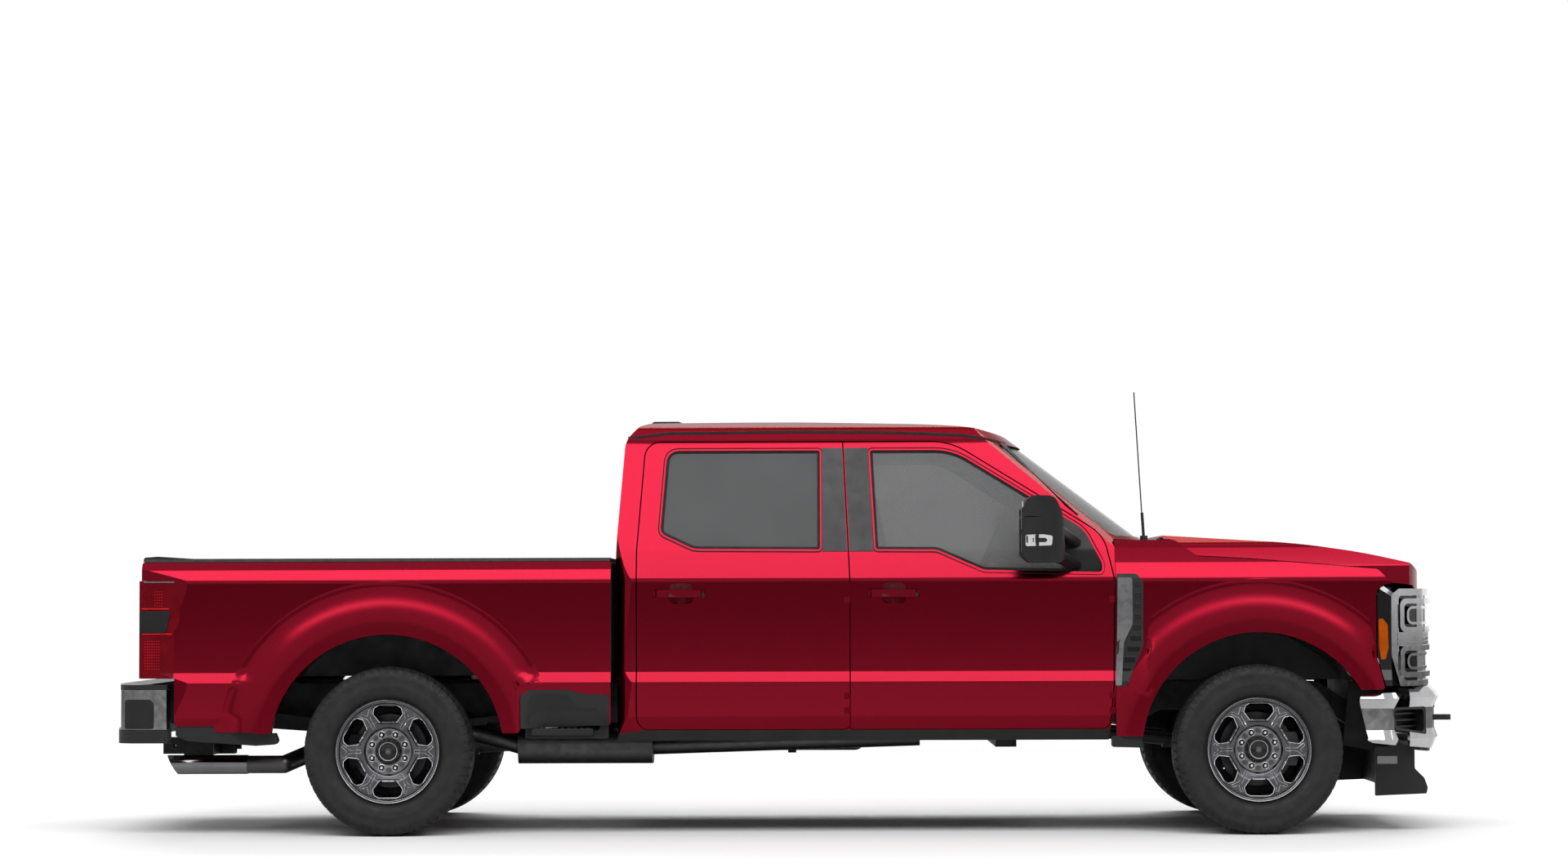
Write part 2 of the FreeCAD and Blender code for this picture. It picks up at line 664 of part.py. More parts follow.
def hood_side(drop):
    """Side view of the hood, moved down and back by drop."""
    back = drop * 0.9
    return [(HOOD_REAR_X, HOOD_REAR_Z - drop),
            (HOOD_REAR_X + 620, (HOOD_REAR_Z + HOOD_MID_Z) / 2 - 18 - drop + 8, 3000),
            (HOOD_NOSE_X - 360, HOOD_MID_Z - 24 - drop, 2500),
            (HOOD_NOSE_X - 130 - back, HOOD_MID_Z - 76 - drop, 260),
            (HOOD_NOSE_X - 12 - back, HOOD_NOSE_Z + 70, 90),
            (HOOD_NOSE_X - back, HOOD_NOSE_Z - 16),
            (HOOD_NOSE_X - 60 - back, HOOD_NOSE_Z - 18),
            (HOOD_NOSE_X - 110 - back, HOOD_NOSE_Z + 16, 20),
            (HOOD_NOSE_X - 232 - back, HOOD_NOSE_Z + 30, 20),
            (HOOD_NOSE_X - 304 - back, FENDER_TOP_FRONT_Z + PANEL_GAP, 40),
            (FRONT_AXLE, FENDER_TOP_MID_Z - 8 + PANEL_GAP),
            (HOOD_REAR_X + 138, FENDER_TOP_MID_Z + 8 + PANEL_GAP, 60),
            (HOOD_REAR_X + 36, FENDER_TOP_REAR_Z + PANEL_GAP, 40),
            (HOOD_REAR_X, FENDER_TOP_REAR_Z + PANEL_GAP)]


def nose_sweep(front_x, radius):
    """Upright cylinder that gives the front end its curve in plan."""
    return Part.makeCylinder(radius, 2000, V(front_x - radius, 0, 0))


def front_plan(inset, rear_x, front_x, sweep, side_y, bend_x, bend_y):
    """Plan of the front end, in by inset: straight sides, slanted corners and a swept front."""
    centre = V(front_x - sweep, 0, 0)
    corner = V(bend_x, side_y, 0)
    meet = V(centre.x + math.sqrt(sweep ** 2 - bend_y ** 2), bend_y, 0)
    along = (meet - corner).normalize()
    start = corner - V(-along.y, along.x, 0) * inset
    bend = start + along * ((side_y - inset - start.y) / along.y)
    near = (start - centre).dot(along)
    rest = (start - centre).Length ** 2 - (sweep - inset) ** 2
    meet = start + along * (math.sqrt(near ** 2 - rest) - near)
    half = [(rear_x, side_y - inset), (bend.x, bend.y, 110), (meet.x, meet.y, 90)]
    for share in (0.66, 0.33):
        y = meet.y * share
        half.append((centre.x + math.sqrt((sweep - inset) ** 2 - y ** 2), y, sweep))
    right = [(p[0], -p[1]) + tuple(p[2:]) for p in reversed(half)]
    return half + [(front_x - inset, 0, sweep)] + right


def nose(inset):
    """Upright solid of the lamps' and grille's shape in plan, in by inset."""
    points = front_plan(inset, LAMP_REAR_X - 300, GRILLE_FRONT_X, NOSE_SWEEP_R, SIDE_Y - 4, NOSE_BEND_X,
                        NOSE_BEND_Y)
    return plate_z(points, GRILLE_BOTTOM_Z - 60, HOOD_REAR_Z)


def nose_layer(outer, inner):
    """Shell that follows the nose between two insets."""
    return nose(outer).cut(nose(inner))


def hood_volume(drop):
    width = HOOD_HALF_WIDTH - drop
    half = [(width, 1000), (width - 4, 1250, 20), (width - 62, HOOD_MID_Z + 18 - drop * 0.5, 60),
            (width - 250, HOOD_REAR_Z + 30 - drop, 300)]
    body = plate_x(both_sides(half), HOOD_REAR_X - 10, HOOD_NOSE_X + 50)
    body = body.common(plate_y(hood_side(drop), -BODY_WIDTH, BODY_WIDTH))
    return body.common(nose_sweep(HOOD_NOSE_X - drop, NOSE_SWEEP_R))


def make_hood():
    shell = hood_volume(0).cut(hood_volume(HOOD_THICKNESS))
    inside = block(HOOD_REAR_X + 40, HOOD_NOSE_X - 170, -HOOD_HALF_WIDTH + 30,
                   HOOD_HALF_WIDTH - 30, 1000, HOOD_MID_Z - 120)
    shell = shell.cut(inside)
    shell = max(shell.Solids, key=lambda s: s.Volume)
    keep("hood", join(shell, *hood_knuckles(False)))


def hood_knuckles(cowl):
    """Hinge barrels along the hood's rear edge: the cowl's outer pair or the hood's middle."""
    spans = ((-44, -16 - SEAT), (16 + SEAT, 44)) if cowl else ((-16, 16),)
    found = []
    for low, high in spans:
        y0 = HOOD_HINGE_Y + low
        y1 = HOOD_HINGE_Y + high
        barrel = across(HOOD_AXIS_X, HOOD_AXIS_Z, HOOD_BARREL_R, y0, y1)
        if cowl:
            leaf = block(HOOD_AXIS_X - 8, HOOD_AXIS_X - 3.2, y0, y1, HOOD_REAR_Z - 40, HOOD_AXIS_Z)
        else:
            leaf = block(HOOD_AXIS_X, HOOD_AXIS_X + 9, y0, y1, HOOD_AXIS_Z - 4, HOOD_AXIS_Z + 3)
        found += both(join(barrel, leaf))
    return found


def fender_side(drop):
    """Side view of the front fender, its top moved down by drop."""
    gap = PANEL_GAP
    rear = FIREWALL_X + gap / 2
    low = FENDER_FOOT_Z
    return [(fender_foot_x(gap / 2), low), (FRONT_AXLE, low), (FRONT_AXLE, FENDER_BOTTOM_FRONT_Z),
            (LAMP_FOOT_X - gap, FENDER_BOTTOM_FRONT_Z, 12), (LAMP_REAR_X - gap, LAMP_BEND_Z, 150),
            (LAMP_REAR_X - gap, HOOD_NOSE_Z - 18, 40), (LAMP_REAR_X + 16, HOOD_NOSE_Z + 18, 26),
            (LAMP_REAR_X + 66, HOOD_NOSE_Z + 24, 4),
            (LAMP_REAR_X + 6, FENDER_TOP_FRONT_Z - drop, 40),
            (FRONT_AXLE, FENDER_TOP_MID_Z - 8 - drop),
            (HOOD_REAR_X + 138, FENDER_TOP_MID_Z + 8 - drop, 60),
            (HOOD_REAR_X + 36, FENDER_TOP_REAR_Z - drop, 40),
            (rear, FENDER_TOP_REAR_Z - drop), (rear, FOOT_RAKE_Z)]


def fender_volume(drop):
    half = skin_half(drop)[:6] + [(SIDE_Y - BELT_INSET + 6 - drop, 1264, 60),
                                   (SIDE_Y - 76 - drop, 1336, 60),
                                   (SIDE_Y - 122 - drop, FENDER_TOP_REAR_Z + 30)]
    body = plate_x(both_sides(half), FIREWALL_X - 10, FENDER_FRONT_X + 60)
    return body.common(plate_y(fender_side(drop), -BODY_WIDTH, BODY_WIDTH))


def make_fenders():
    outer = fender_volume(0)
    band = flare(FRONT_AXLE).common(plate_y(fender_side(0), -BODY_WIDTH, BODY_WIDTH))
    left = join(outer, band)
    inner_half = [(SIDE_Y - FENDER_WALL, 0), (SIDE_Y - FENDER_WALL, SHOULDER_Z, 60),
                  (SIDE_Y - FENDER_WALL - 60, FENDER_TOP_REAR_Z - 70)]
    hollow = plate_x(both_sides(inner_half), FIREWALL_X - 20, FENDER_FRONT_X + 60)
    hollow = hollow.common(plate_y(fender_side(FENDER_WALL), -BODY_WIDTH, BODY_WIDTH))
    left = left.cut(hollow)
    left = left.cut(across(FRONT_AXLE, TYRE_RADIUS, ARCH_RADIUS, -BODY_WIDTH, BODY_WIDTH))
    left = left.common(block(FIREWALL_X, FENDER_FRONT_X + 100, FENDER_INNER_Y, BODY_WIDTH, 0, ROOF_Z))
    body = max(left.Solids, key=lambda s: s.Volume)
    keep("front_fenders", *both(body))


def make_liners():
    """Arch-shaped splash liners between the fenders and the engine bay."""
    ring = turned([(ARCH_RADIUS + 6, APRON_Y), (ARCH_RADIUS + 6, SIDE_Y - FENDER_WALL - SEAT),
                   (ARCH_RADIUS + 6 + LINER_WALL, SIDE_Y - FENDER_WALL - SEAT),
                   (ARCH_RADIUS + 6 + LINER_WALL, APRON_Y)], FRONT_AXLE, 0, TYRE_RADIUS, "y")
    wall = turned([(ARCH_RADIUS - 160, APRON_Y), (ARCH_RADIUS - 160, APRON_Y + LINER_WALL),
                   (ARCH_RADIUS + 8, APRON_Y + LINER_WALL), (ARCH_RADIUS + 8, APRON_Y)],
                  FRONT_AXLE, 0, TYRE_RADIUS, "y")
    keep_zone = block(FRONT_AXLE - 700, FRONT_AXLE + 700, 0, BODY_WIDTH, FRAME_RAIL_TOP_Z + 10, ROOF_Z)
    liner = join(ring, wall).common(keep_zone)
    keep("front_liners", *both(liner))


def frame_side(low, high, start, corner):
    """Side view of a bright frame that is closed at the back and runs on round the nose."""
    ahead = GRILLE_FRONT_X + 40
    return [(start, low, corner), (ahead, low), (ahead, high), (start, high, corner)]


def grille_frame(low, high, start, bar, layer):
    """One rounded frame, bent round the nose, with bars of the given width."""
    whole = plate_y(frame_side(low, high, start, 34), -BODY_WIDTH, BODY_WIDTH)
    hole = plate_y(frame_side(low + bar, high - bar, start + bar, 20), -BODY_WIDTH, BODY_WIDTH)
    return layer.common(whole.cut(hole))


def make_grille():
    """Bright bezel, two stacked frames that wrap over the lamps, a ribbed bar and a slatted back."""
    middle = (GRILLE_TOP_Z + GRILLE_BOTTOM_Z) / 2
    slope = (LAMP_FOOT_X - LAMP_REAR_X) / (LAMP_BEND_Z - GRILLE_BOTTOM_Z)
    shell = nose_layer(8, 36)
    bezel = [(LAMP_BEZEL_X + 44, GRILLE_BOTTOM_Z), (LAMP_BEZEL_X, LAMP_BEND_Z, 60),
             (LAMP_BEZEL_X, GRILLE_TOP_Z - 6, 14), (LAMP_BEZEL_X + 40, GRILLE_TOP_Z + 22, 20),
             (GRILLE_FRONT_X + 40, GRILLE_TOP_Z + 22), (GRILLE_FRONT_X + 40, GRILLE_BOTTOM_Z)]
    inner = [(LAMP_BEZEL_X + 44 + slope * 100, GRILLE_BOTTOM_Z + 24, 20), (LAMP_BEZEL_X + 38, LAMP_BEND_Z, 60),
             (LAMP_BEZEL_X + 38, GRILLE_TOP_Z - 10, 20), (GRILLE_FRONT_X + 40, GRILLE_TOP_Z - 10),
             (GRILLE_FRONT_X + 40, GRILLE_BOTTOM_Z + 24)]
    ring = plate_y(bezel, -BODY_WIDTH, BODY_WIDTH).cut(plate_y(inner, -BODY_WIDTH, BODY_WIDTH))
    pieces = [shell.common(ring).cut(hood_volume(0))]
    frames = nose_layer(0, 34)
    for low, high in ((GRILLE_BOTTOM_Z + 40, middle - 28), (middle + 34, GRILLE_TOP_Z - 24)):
        pieces.append(grille_frame(low, high, FRAME_START_X, 24, frames))
        pieces.append(grille_frame(low + 36, high - 36, FRAME_START_X + 44, 12, nose_layer(14, 36)))
    bar_x = FRAME_START_X - 12
    ribs = nose_layer(6, 36)
    for z in (middle - 17, middle + 3, middle + 23):
        pieces.append(ribs.common(block(bar_x, GRILLE_FRONT_X, -BODY_WIDTH, BODY_WIDTH, z - 8, z + 8)))
    backing = block(bar_x + 2, GRILLE_FRONT_X, -BODY_WIDTH, BODY_WIDTH, middle - 29, middle + 35)
    pieces.append(nose_layer(12, 36).common(backing))
    back = nose_layer(58, 74)
    band = GRILLE_TOP_Z - GRILLE_BOTTOM_Z - 40
    slats = [block(LAMP_REAR_X, GRILLE_FRONT_X, -GRILLE_HALF_WIDTH + 4, GRILLE_HALF_WIDTH - 4, z, z + 14)
             for z in (GRILLE_BOTTOM_Z + 14 + band * i / 11 for i in range(12))]
    pieces.append(back.common(join(*slats)))
    deep = nose_layer(20, 76)
    for y in (-GRILLE_HALF_WIDTH + 14, -450, -230, 0, 230, 450, GRILLE_HALF_WIDTH - 14):
        pieces.append(deep.common(block(LAMP_REAR_X, GRILLE_FRONT_X, y - 10, y + 10, GRILLE_BOTTOM_Z + 6,
                                        GRILLE_TOP_Z - 4)))
    stays = nose_layer(14, 36).common(block(LAMP_REAR_X, GRILLE_FRONT_X, GRILLE_HALF_WIDTH + 50,
                                            GRILLE_HALF_WIDTH + 66, GRILLE_BOTTOM_Z + 6, GRILLE_TOP_Z - 4))
    flange = nose_sweep(GRILLE_FRONT_X - 30, NOSE_SWEEP_R)
    flange = flange.cut(nose_sweep(GRILLE_FRONT_X - GRILLE_DEPTH, NOSE_SWEEP_R))
    flange = flange.common(block(LAMP_REAR_X, GRILLE_FRONT_X, -GRILLE_HALF_WIDTH + 4, GRILLE_HALF_WIDTH - 4,
                                 GRILLE_TOP_Z - 26, GRILLE_TOP_Z - 4))
    keep("grille", join(*pieces, *both(stays), flange))


def make_headlamps():
    """Wrap-around lamp between the grille and the fender, with a body-flush cheek, left and right."""
    foot = GRILLE_BOTTOM_Z + 2
    side = [(LAMP_FOOT_X, foot, 12), (LAMP_REAR_X, LAMP_BEND_Z, 150), (LAMP_REAR_X, HOOD_NOSE_Z - 22, 36),
            (LAMP_REAR_X + 18, HOOD_NOSE_Z + 8, 20), (GRILLE_FRONT_X - 160, HOOD_NOSE_Z + 6, 20),
            (GRILLE_FRONT_X - 110, HOOD_NOSE_Z - 30), (GRILLE_FRONT_X, HOOD_NOSE_Z - 30),
            (GRILLE_FRONT_X, foot)]
    outer = plate_y(side, GRILLE_HALF_WIDTH + SEAT, BODY_WIDTH)
    skin = plate_x(both_sides(skin_half(5)[1:6] + [(SIDE_Y - 60, FENDER_TOP_REAR_Z)]),
                   LAMP_REAR_X - 100, GRILLE_FRONT_X + 100)
    zone = block(LAMP_REAR_X, GRILLE_FRONT_X, 0, BODY_WIDTH, foot, GRILLE_TOP_Z - 12)
    lens = nose_layer(40, 250).common(zone)
    cheek = block(LAMP_REAR_X - 10, LAMP_BEZEL_X - SEAT, SIDE_Y - 170, BODY_WIDTH, foot - 10, HOOD_REAR_Z)
    lamp = join(lens, cheek).common(outer).common(skin).cut(hood_volume(-PANEL_GAP / 2))
    keep("headlamps", *both(max(lamp.Solids, key=lambda s: s.Volume)))


# Bed, tailgate and rear end


def bed_side():
    foot = ARCH_RADIUS + 67
    return [(BED_TAIL_CUT_X, BED_BOTTOM_Z, 20), (-foot - 20, BED_BOTTOM_Z), (-foot, ARCH_FOOT_Z, 12),
            (foot, ARCH_FOOT_Z, 12), (foot + 20, BED_BOTTOM_Z), (BED_FRONT_X, BED_BOTTOM_Z, 20),
            (BED_FRONT_X, BED_RAIL_Z, 12), (BED_REAR_X, BED_RAIL_Z, 12),
            (BED_REAR_X, TAILGATE_HINGE_Z - 20), (BED_TAIL_CUT_X, TAILGATE_HINGE_Z - 20)]


def tail_lamp_zone(clearance):
    """Side view of the lamp pocket: a slanted top, and a step forward in its upper half."""
    edge = BED_REAR_X + TAIL_LAMP_DEPTH + clearance
    behind = BED_REAR_X - 100
    points = [(behind, TAIL_LAMP_BOTTOM_Z - clearance), (edge - 25, TAIL_LAMP_BOTTOM_Z - clearance, 12),
              (edge - 21, 954, 10), (edge + 6, 1000, 16), (edge, TAIL_LAMP_TOP_Z - 36 + clearance, 20),
              (edge - 60, TAIL_LAMP_TOP_Z - 6 + clearance, 20), (behind, TAIL_LAMP_TOP_Z + clearance)]
    return plate_y(points, TAIL_LAMP_INNER_Y - clearance, BODY_WIDTH)


def bed_plan():
    """Plan of the bed's sides, which turn inwards behind a vertical bend."""
    half = [(BED_FRONT_X + 10, SIDE_Y + 60), (BED_BEND_X, SIDE_Y + 60), (BED_BEND_X, SIDE_Y, 20),
            (BED_REAR_X - 20, SIDE_Y - BED_TAIL_TAPER)]
    return plate_z(half + [(p[0], -p[1]) + tuple(p[2:]) for p in reversed(half)], 0, ROOF_Z)


def bed_section(top_z):
    return skin_half(0)[:6] + [(SIDE_Y - 20, top_z - 40, 40), (SIDE_Y - 46, top_z)]


def make_bed():
    section = plate_x(both_sides(bed_section(BED_RAIL_Z)), BED_REAR_X - 50, BED_FRONT_X + 50)
    body = section.common(plate_y(bed_side(), -BODY_WIDTH, BODY_WIDTH)).common(bed_plan())
    load = block(BED_REAR_X - 100, BED_FRONT_X - BED_FRONT_WALL, -SIDE_Y + BED_WALL, SIDE_Y - BED_WALL,
                 BED_FLOOR_Z, ROOF_Z)
    under = block(BED_REAR_X - 100, BED_FRONT_X + 100, -SIDE_Y + BED_SKIN + 20, SIDE_Y - BED_SKIN - 20,
                  0, BED_FLOOR_Z - BED_FLOOR_THICKNESS)
    body = body.cut([load, under])
    house = across(0, TYRE_RADIUS, WHEELHOUSE_RADIUS, WHEELHOUSE_Y, SIDE_Y - BED_WALL + 10)
    house = house.common(block(-WHEELHOUSE_RADIUS, WHEELHOUSE_RADIUS, WHEELHOUSE_Y, SIDE_Y,
                               BED_FLOOR_Z - 10, ROOF_Z))
    body = join(body, *both(house))
    hollow = across(0, TYRE_RADIUS, WHEELHOUSE_RADIUS - WHEELHOUSE_WALL, WHEELHOUSE_Y + WHEELHOUSE_WALL,
                    SIDE_Y - BED_SKIN)
    band = flare(0).common(block(-FLARE_RADIUS, FLARE_RADIUS, 0, BODY_WIDTH, ARCH_FOOT_Z, BED_RAIL_Z))
    band = band.common(plate_y(bed_side(), 0, BODY_WIDTH))
    body = join(body, *both(band))
    arch = across(0, TYRE_RADIUS, ARCH_RADIUS, WHEELHOUSE_Y + WHEELHOUSE_WALL, BODY_WIDTH)
    body = body.cut(both(hollow) + both(arch))
    body = body.cut(both(tail_lamp_zone(SEAT)))
    body = body.cut(across(TAILGATE_X, TAILGATE_HINGE_Z, TAILGATE_KNUCKLE_R, -TAILGATE_HALF_WIDTH - PANEL_GAP,
                           TAILGATE_HALF_WIDTH + PANEL_GAP))
    body = body.cut(block(BED_REAR_X - 100, TAILGATE_X + TAILGATE_THICKNESS / 2 + PANEL_GAP,
                          -TAILGATE_HALF_WIDTH - PANEL_GAP, TAILGATE_HALF_WIDTH + PANEL_GAP, 0, ROOF_Z))
    boss = block(TAILGATE_X - 22, TAILGATE_X + 40, TAILGATE_HALF_WIDTH + PANEL_GAP, TAIL_LAMP_INNER_Y - 2,
                 TAILGATE_HINGE_Z - 22, TAILGATE_HINGE_Z + 40)
    body = join(body, *both(boss))
    body = body.cut(across(TAILGATE_X, TAILGATE_HINGE_Z, TRUNNION_R + SEAT, -TAIL_LAMP_INNER_Y + 10,
                           TAIL_LAMP_INNER_Y - 10))
    body = body.cut(rod((BALL_HOLE_X, 0, 0), (BALL_HOLE_X, 0, ROOF_Z), BALL_HOLE_RADIUS))
    seam = WHEELHOUSE_Y - 2
    floor = body.common(block(BED_REAR_X - 100, BED_FRONT_X + 100, -seam, seam, 0, ROOF_Z))
    side = body.common(block(BED_REAR_X - 100, BED_FRONT_X + 100, seam + SEAT, BODY_WIDTH, 0, ROOF_Z))
    keep("bed_box", floor, *both(max(side.Solids, key=lambda s: s.Volume)))


def make_tailgate():
    half = TAILGATE_THICKNESS / 2
    side = [(TAILGATE_X - half, TAILGATE_HINGE_Z - 22, 16), (TAILGATE_X + half, TAILGATE_HINGE_Z - 22, 16),
            (TAILGATE_X + half, TAILGATE_TOP_Z, 8), (TAILGATE_X - half - 8, TAILGATE_TOP_Z, 8),
            (TAILGATE_X - half - 4, TAILGATE_TOP_Z - 90, 60)]
    gate = plate_y(side, -TAILGATE_HALF_WIDTH, TAILGATE_HALF_WIDTH)
    pocket = plate_x([(-130, 1080, 14), (130, 1080, 14), (130, 1170, 14), (-130, 1170, 14)],
                     TAILGATE_X - half - 40, TAILGATE_X - half + 22)
    groove = block(TAILGATE_X - half - 40, TAILGATE_X - half + 6, -TAILGATE_HALF_WIDTH + 60,
                   TAILGATE_HALF_WIDTH - 60, 846, 1000)
    gate = gate.cut([pocket, groove])
    grip = block(TAILGATE_X - half - 2, TAILGATE_X - half + 12, -134, 134, 1128, 1160)
    pins = both(across(TAILGATE_X, TAILGATE_HINGE_Z, TRUNNION_R, TAILGATE_HALF_WIDTH - 10,
                       TAILGATE_HALF_WIDTH + 32))
    keep("tailgate", join(gate, grip, *pins))


def make_caps():
    """Moulded caps along the bed rails and front wall."""
    inner = SIDE_Y - BED_WALL - 10
    outer = SIDE_Y - 44
    top = BED_RAIL_Z + SEAT
    side = plate_x([(inner, top), (outer, top), (outer - 6, top + CAP_THICKNESS, 6),
                    (inner + 4, top + CAP_THICKNESS, 6)], BED_REAR_X + 4, BED_FRONT_X - 4)
    front = block(BED_FRONT_X - BED_FRONT_WALL - 6, BED_FRONT_X - 4, -inner - 10, inner + 10, top,
                  top + CAP_THICKNESS - 2)
    rise = plate_y([(BED_REAR_X + 4, top), (BED_REAR_X + 4, top + 22, 14), (BED_REAR_X + 70, top + 27, 60),
                    (BED_REAR_X + 250, top + CAP_THICKNESS - 1, 60), (BED_REAR_X + 250, top)],
                   inner + 6, outer - 8)
    keep("bed_rail_caps", join(side, mirrored(side), front, *both(rise)))


def make_tail_lamps():
    skin = plate_x(both_sides(bed_section(BED_RAIL_Z)), BED_REAR_X - 50, BED_FRONT_X)
    skin = skin.common(bed_plan())
    lamp = skin.common(tail_lamp_zone(0)).common(block(BED_REAR_X - 11, BED_FRONT_X, 0, BODY_WIDTH, 0, ROOF_Z))
    keep("rear_lamps", *both(lamp))


def make_stop_lamp():
    y = 170.0
    z = GLASS_TOP_Z + 28
    x = CAB_REAR_X + 22
    lamp = block(x, x + 120, -y, y, z, z + 26).cut(cab_solid())
    keep("rear_lamps", max(lamp.Solids, key=lambda s: -s.BoundBox.XMin))


def rear_bumper_plan(inset):
    """Plan outline of the rear bumper, in by inset."""
    side = BUMPER_HALF_WIDTH - inset
    rear = -REAR_OVERHANG + inset
    half = [(BUMPER_SIDE_FRONT_X - inset, side - 90), (BUMPER_SIDE_FRONT_X - inset, side, 8),
            (BUMPER_CORNER_X + inset, side, 110), (rear + 14, side - 300, 260), (rear, side - 560, 900)]
    half = [(BUMPER_CORNER_X + 150, side - 90, 30)] + half
    return half + [(p[0], -p[1]) + tuple(p[2:]) for p in reversed(half)]


def make_rear_bumper():
    low = BUMPER_CHROME_Z
    high = BUMPER_PAD_Z
    shell = plate_z(rear_bumper_plan(8), low, high)
    hollow = plate_z(rear_bumper_plan(34), low - 10, high - 26)
    shell = shell.cut([hollow, block(-1500, BUMPER_CORNER_X, -520, 520, low - 10, low + 30)])
    plate = [(-190, low + 40, 10), (190, low + 40, 10), (190, high - 16, 10), (-190, high - 16, 10)]
    plate_recess = plate_x(plate, -REAR_OVERHANG - 10, -REAR_OVERHANG + 22)
    brackets = both(block(-REAR_OVERHANG + 22, FRAME_REAR_X - SEAT, FRAME_RAIL_Y - 30, FRAME_RAIL_Y + 30,
                          RAIL_BOTTOM_Z + 50, RAIL_BOTTOM_Z + 130))
    keep("rear_bumper", join(shell.cut(plate_recess), *brackets))
    step = plate_z(rear_bumper_plan(6), high + SEAT, high + 24)
    step = step.cut(block(BUMPER_CORNER_X + 120, 0, -BUMPER_HALF_WIDTH + 60, BUMPER_HALF_WIDTH - 60,
                          0, ROOF_Z))
    lip = plate_z(rear_bumper_plan(0), BUMPER_LIP_Z, low - SEAT).cut(plate_z(rear_bumper_plan(42), 0, ROOF_Z))
    gap = block(-1500, BUMPER_CORNER_X, -300, 300, 0, low)
    keep("bumper_step_pad", step, lip.cut(gap))
    x0 = -REAR_OVERHANG + 110
    half = RECEIVER_SIZE / 2
    outer = half + RECEIVER_WALL
    socket = block(x0, -860, -outer, outer, RECEIVER_Z - outer, RECEIVER_Z + outer)
    cross = block(-1010, -930, -FRAME_RAIL_Y - 10, FRAME_RAIL_Y + 10, RECEIVER_Z - outer + 4,
                  RECEIVER_Z + outer - 4)
    arms = [block(-1040, -900, s * FRAME_RAIL_Y - 10, s * FRAME_RAIL_Y + 10, RECEIVER_Z - outer + 4,
                  RAIL_BOTTOM_Z - SEAT) for s in (-1, 1)]
    seat = outer + SEAT
    room = block(x0 - 10, -850, -seat, seat, RECEIVER_Z - seat, RECEIVER_Z + seat)
    socket = socket.cut([block(x0 - 10, -850, -half, half, RECEIVER_Z - half, RECEIVER_Z + half),
                         across(x0 + 55, RECEIVER_Z, RECEIVER_PIN_R, -outer - 10, outer + 10)])
    keep("receiver_hitch", socket, *join(cross, *arms).cut(room).Solids)


def make_bed_steps():
    """Flip-up side step frame below the front corner of the bed."""
    x0 = 640.0
    x1 = 1030.0
    frame = [(x0, 452, 12), (x1, 452, 12), (x1, BED_BOTTOM_Z + 30), (x0, BED_BOTTOM_Z + 30)]
    hole = [(x0 + 40, 490, 14), (x1 - 40, 490, 14), (x1 - 40, BED_BOTTOM_Z + 18, 8),
            (x0 + 40, BED_BOTTOM_Z + 18, 8)]
    y_out = SIDE_Y - BED_SKIN - 20 - SEAT
    plate = plate_y(frame, y_out - 60, y_out).cut(plate_y(hole, y_out - 70, y_out + 10))
    shelf = block(x0 + 30, x1 - 30, y_out - 120, y_out + 6, 452, 468)
    arm = block(x0 + 150, x0 + 210, FRAME_RAIL_Y + FRAME_RAIL_WIDTH / 2 + SEAT, y_out - 90, 455, 520)
    keep("bed_steps", *both(join(plate, shelf, arm)))


# Chassis


def make_frame():
    """Ladder frame: two boxed rails that kick up over both axles, and crossmembers."""
    top = FRAME_RAIL_TOP_Z
    low = RAIL_BOTTOM_Z
    side = [(FRAME_REAR_X, low), (-420, low, 60), (-330, low + 60, 80), (330, low + 60, 80),
            (420, low, 60), (FRONT_AXLE - 520, low, 80), (FRONT_AXLE - 400, low + 60, 80),
            (FRONT_AXLE + 380, low + 60, 80), (FRONT_AXLE + 480, low - 20, 60),
            (FRAME_FRONT_X, low - 20), (FRAME_FRONT_X, low + 96),
            (FRONT_AXLE + 480, low + 100, 80), (FRONT_AXLE + 340, top, 80), (FRAME_REAR_X, top)]
    rail = plate_y(side, FRAME_RAIL_Y - FRAME_RAIL_WIDTH / 2, FRAME_RAIL_Y + FRAME_RAIL_WIDTH / 2)
    inner = FRAME_RAIL_Y - FRAME_RAIL_WIDTH / 2 + 5
    members = [block(-1060, -1000, -inner, inner, low + 40, top - 20),
               block(-640, -590, -inner, inner, low + 90, top - 10),
               block(560, 620, -inner, inner, low + 80, top - 10),
               block(2300, 2360, -inner, inner, low + 110, top - 10),
               block(CROSS_X, CROSS_X + CROSS_LENGTH, -inner - 40, inner + 40, CROSS_TOP_Z - 60, CROSS_TOP_Z),
               block(FRONT_AXLE + 520, FRONT_AXLE + 590, -inner, inner, low - 10, low + 90)]
    members += both(block(CROSS_X, CROSS_X + CROSS_LENGTH, inner - 30, inner + 40, CROSS_TOP_Z - 10, low + 20))
    mounts = []
    for x in (CAB_REAR_X + 110, B_PILLAR_X - 60, FIREWALL_X - 130):
        mounts += both(block(x - 40, x + 40, FRAME_RAIL_Y, FRAME_RAIL_Y + 110, low + 90,
                             CAB_FLOOR_Z - CAB_FLOOR_THICKNESS))
    for x in (-900, 760):
        mounts += both(block(x - 40, x + 40, FRAME_RAIL_Y - 30, FRAME_RAIL_Y + 60, low + 90,
                             BED_FLOOR_Z - BED_FLOOR_THICKNESS))
    middle = ENGINE_X + ENGINE_LENGTH * 0.41
    mounts += both(block(middle - 50, middle + 50, ENGINE_HALF_WIDTH, FRAME_RAIL_Y, low + 80, low + 150))
    for x in (LEAF_FRONT_X, LEAF_REAR_X):
        mounts += both(block(x - 46, x + 46, FRAME_RAIL_Y + 30, LEAF_Y - LEAF_WIDTH / 2 - SEAT,
                             LEAF_EYE_Z - 44, top - 30))
    frame = join(rail, mirrored(rail), *members, *mounts, *spring_towers())
    keep("frame", frame)


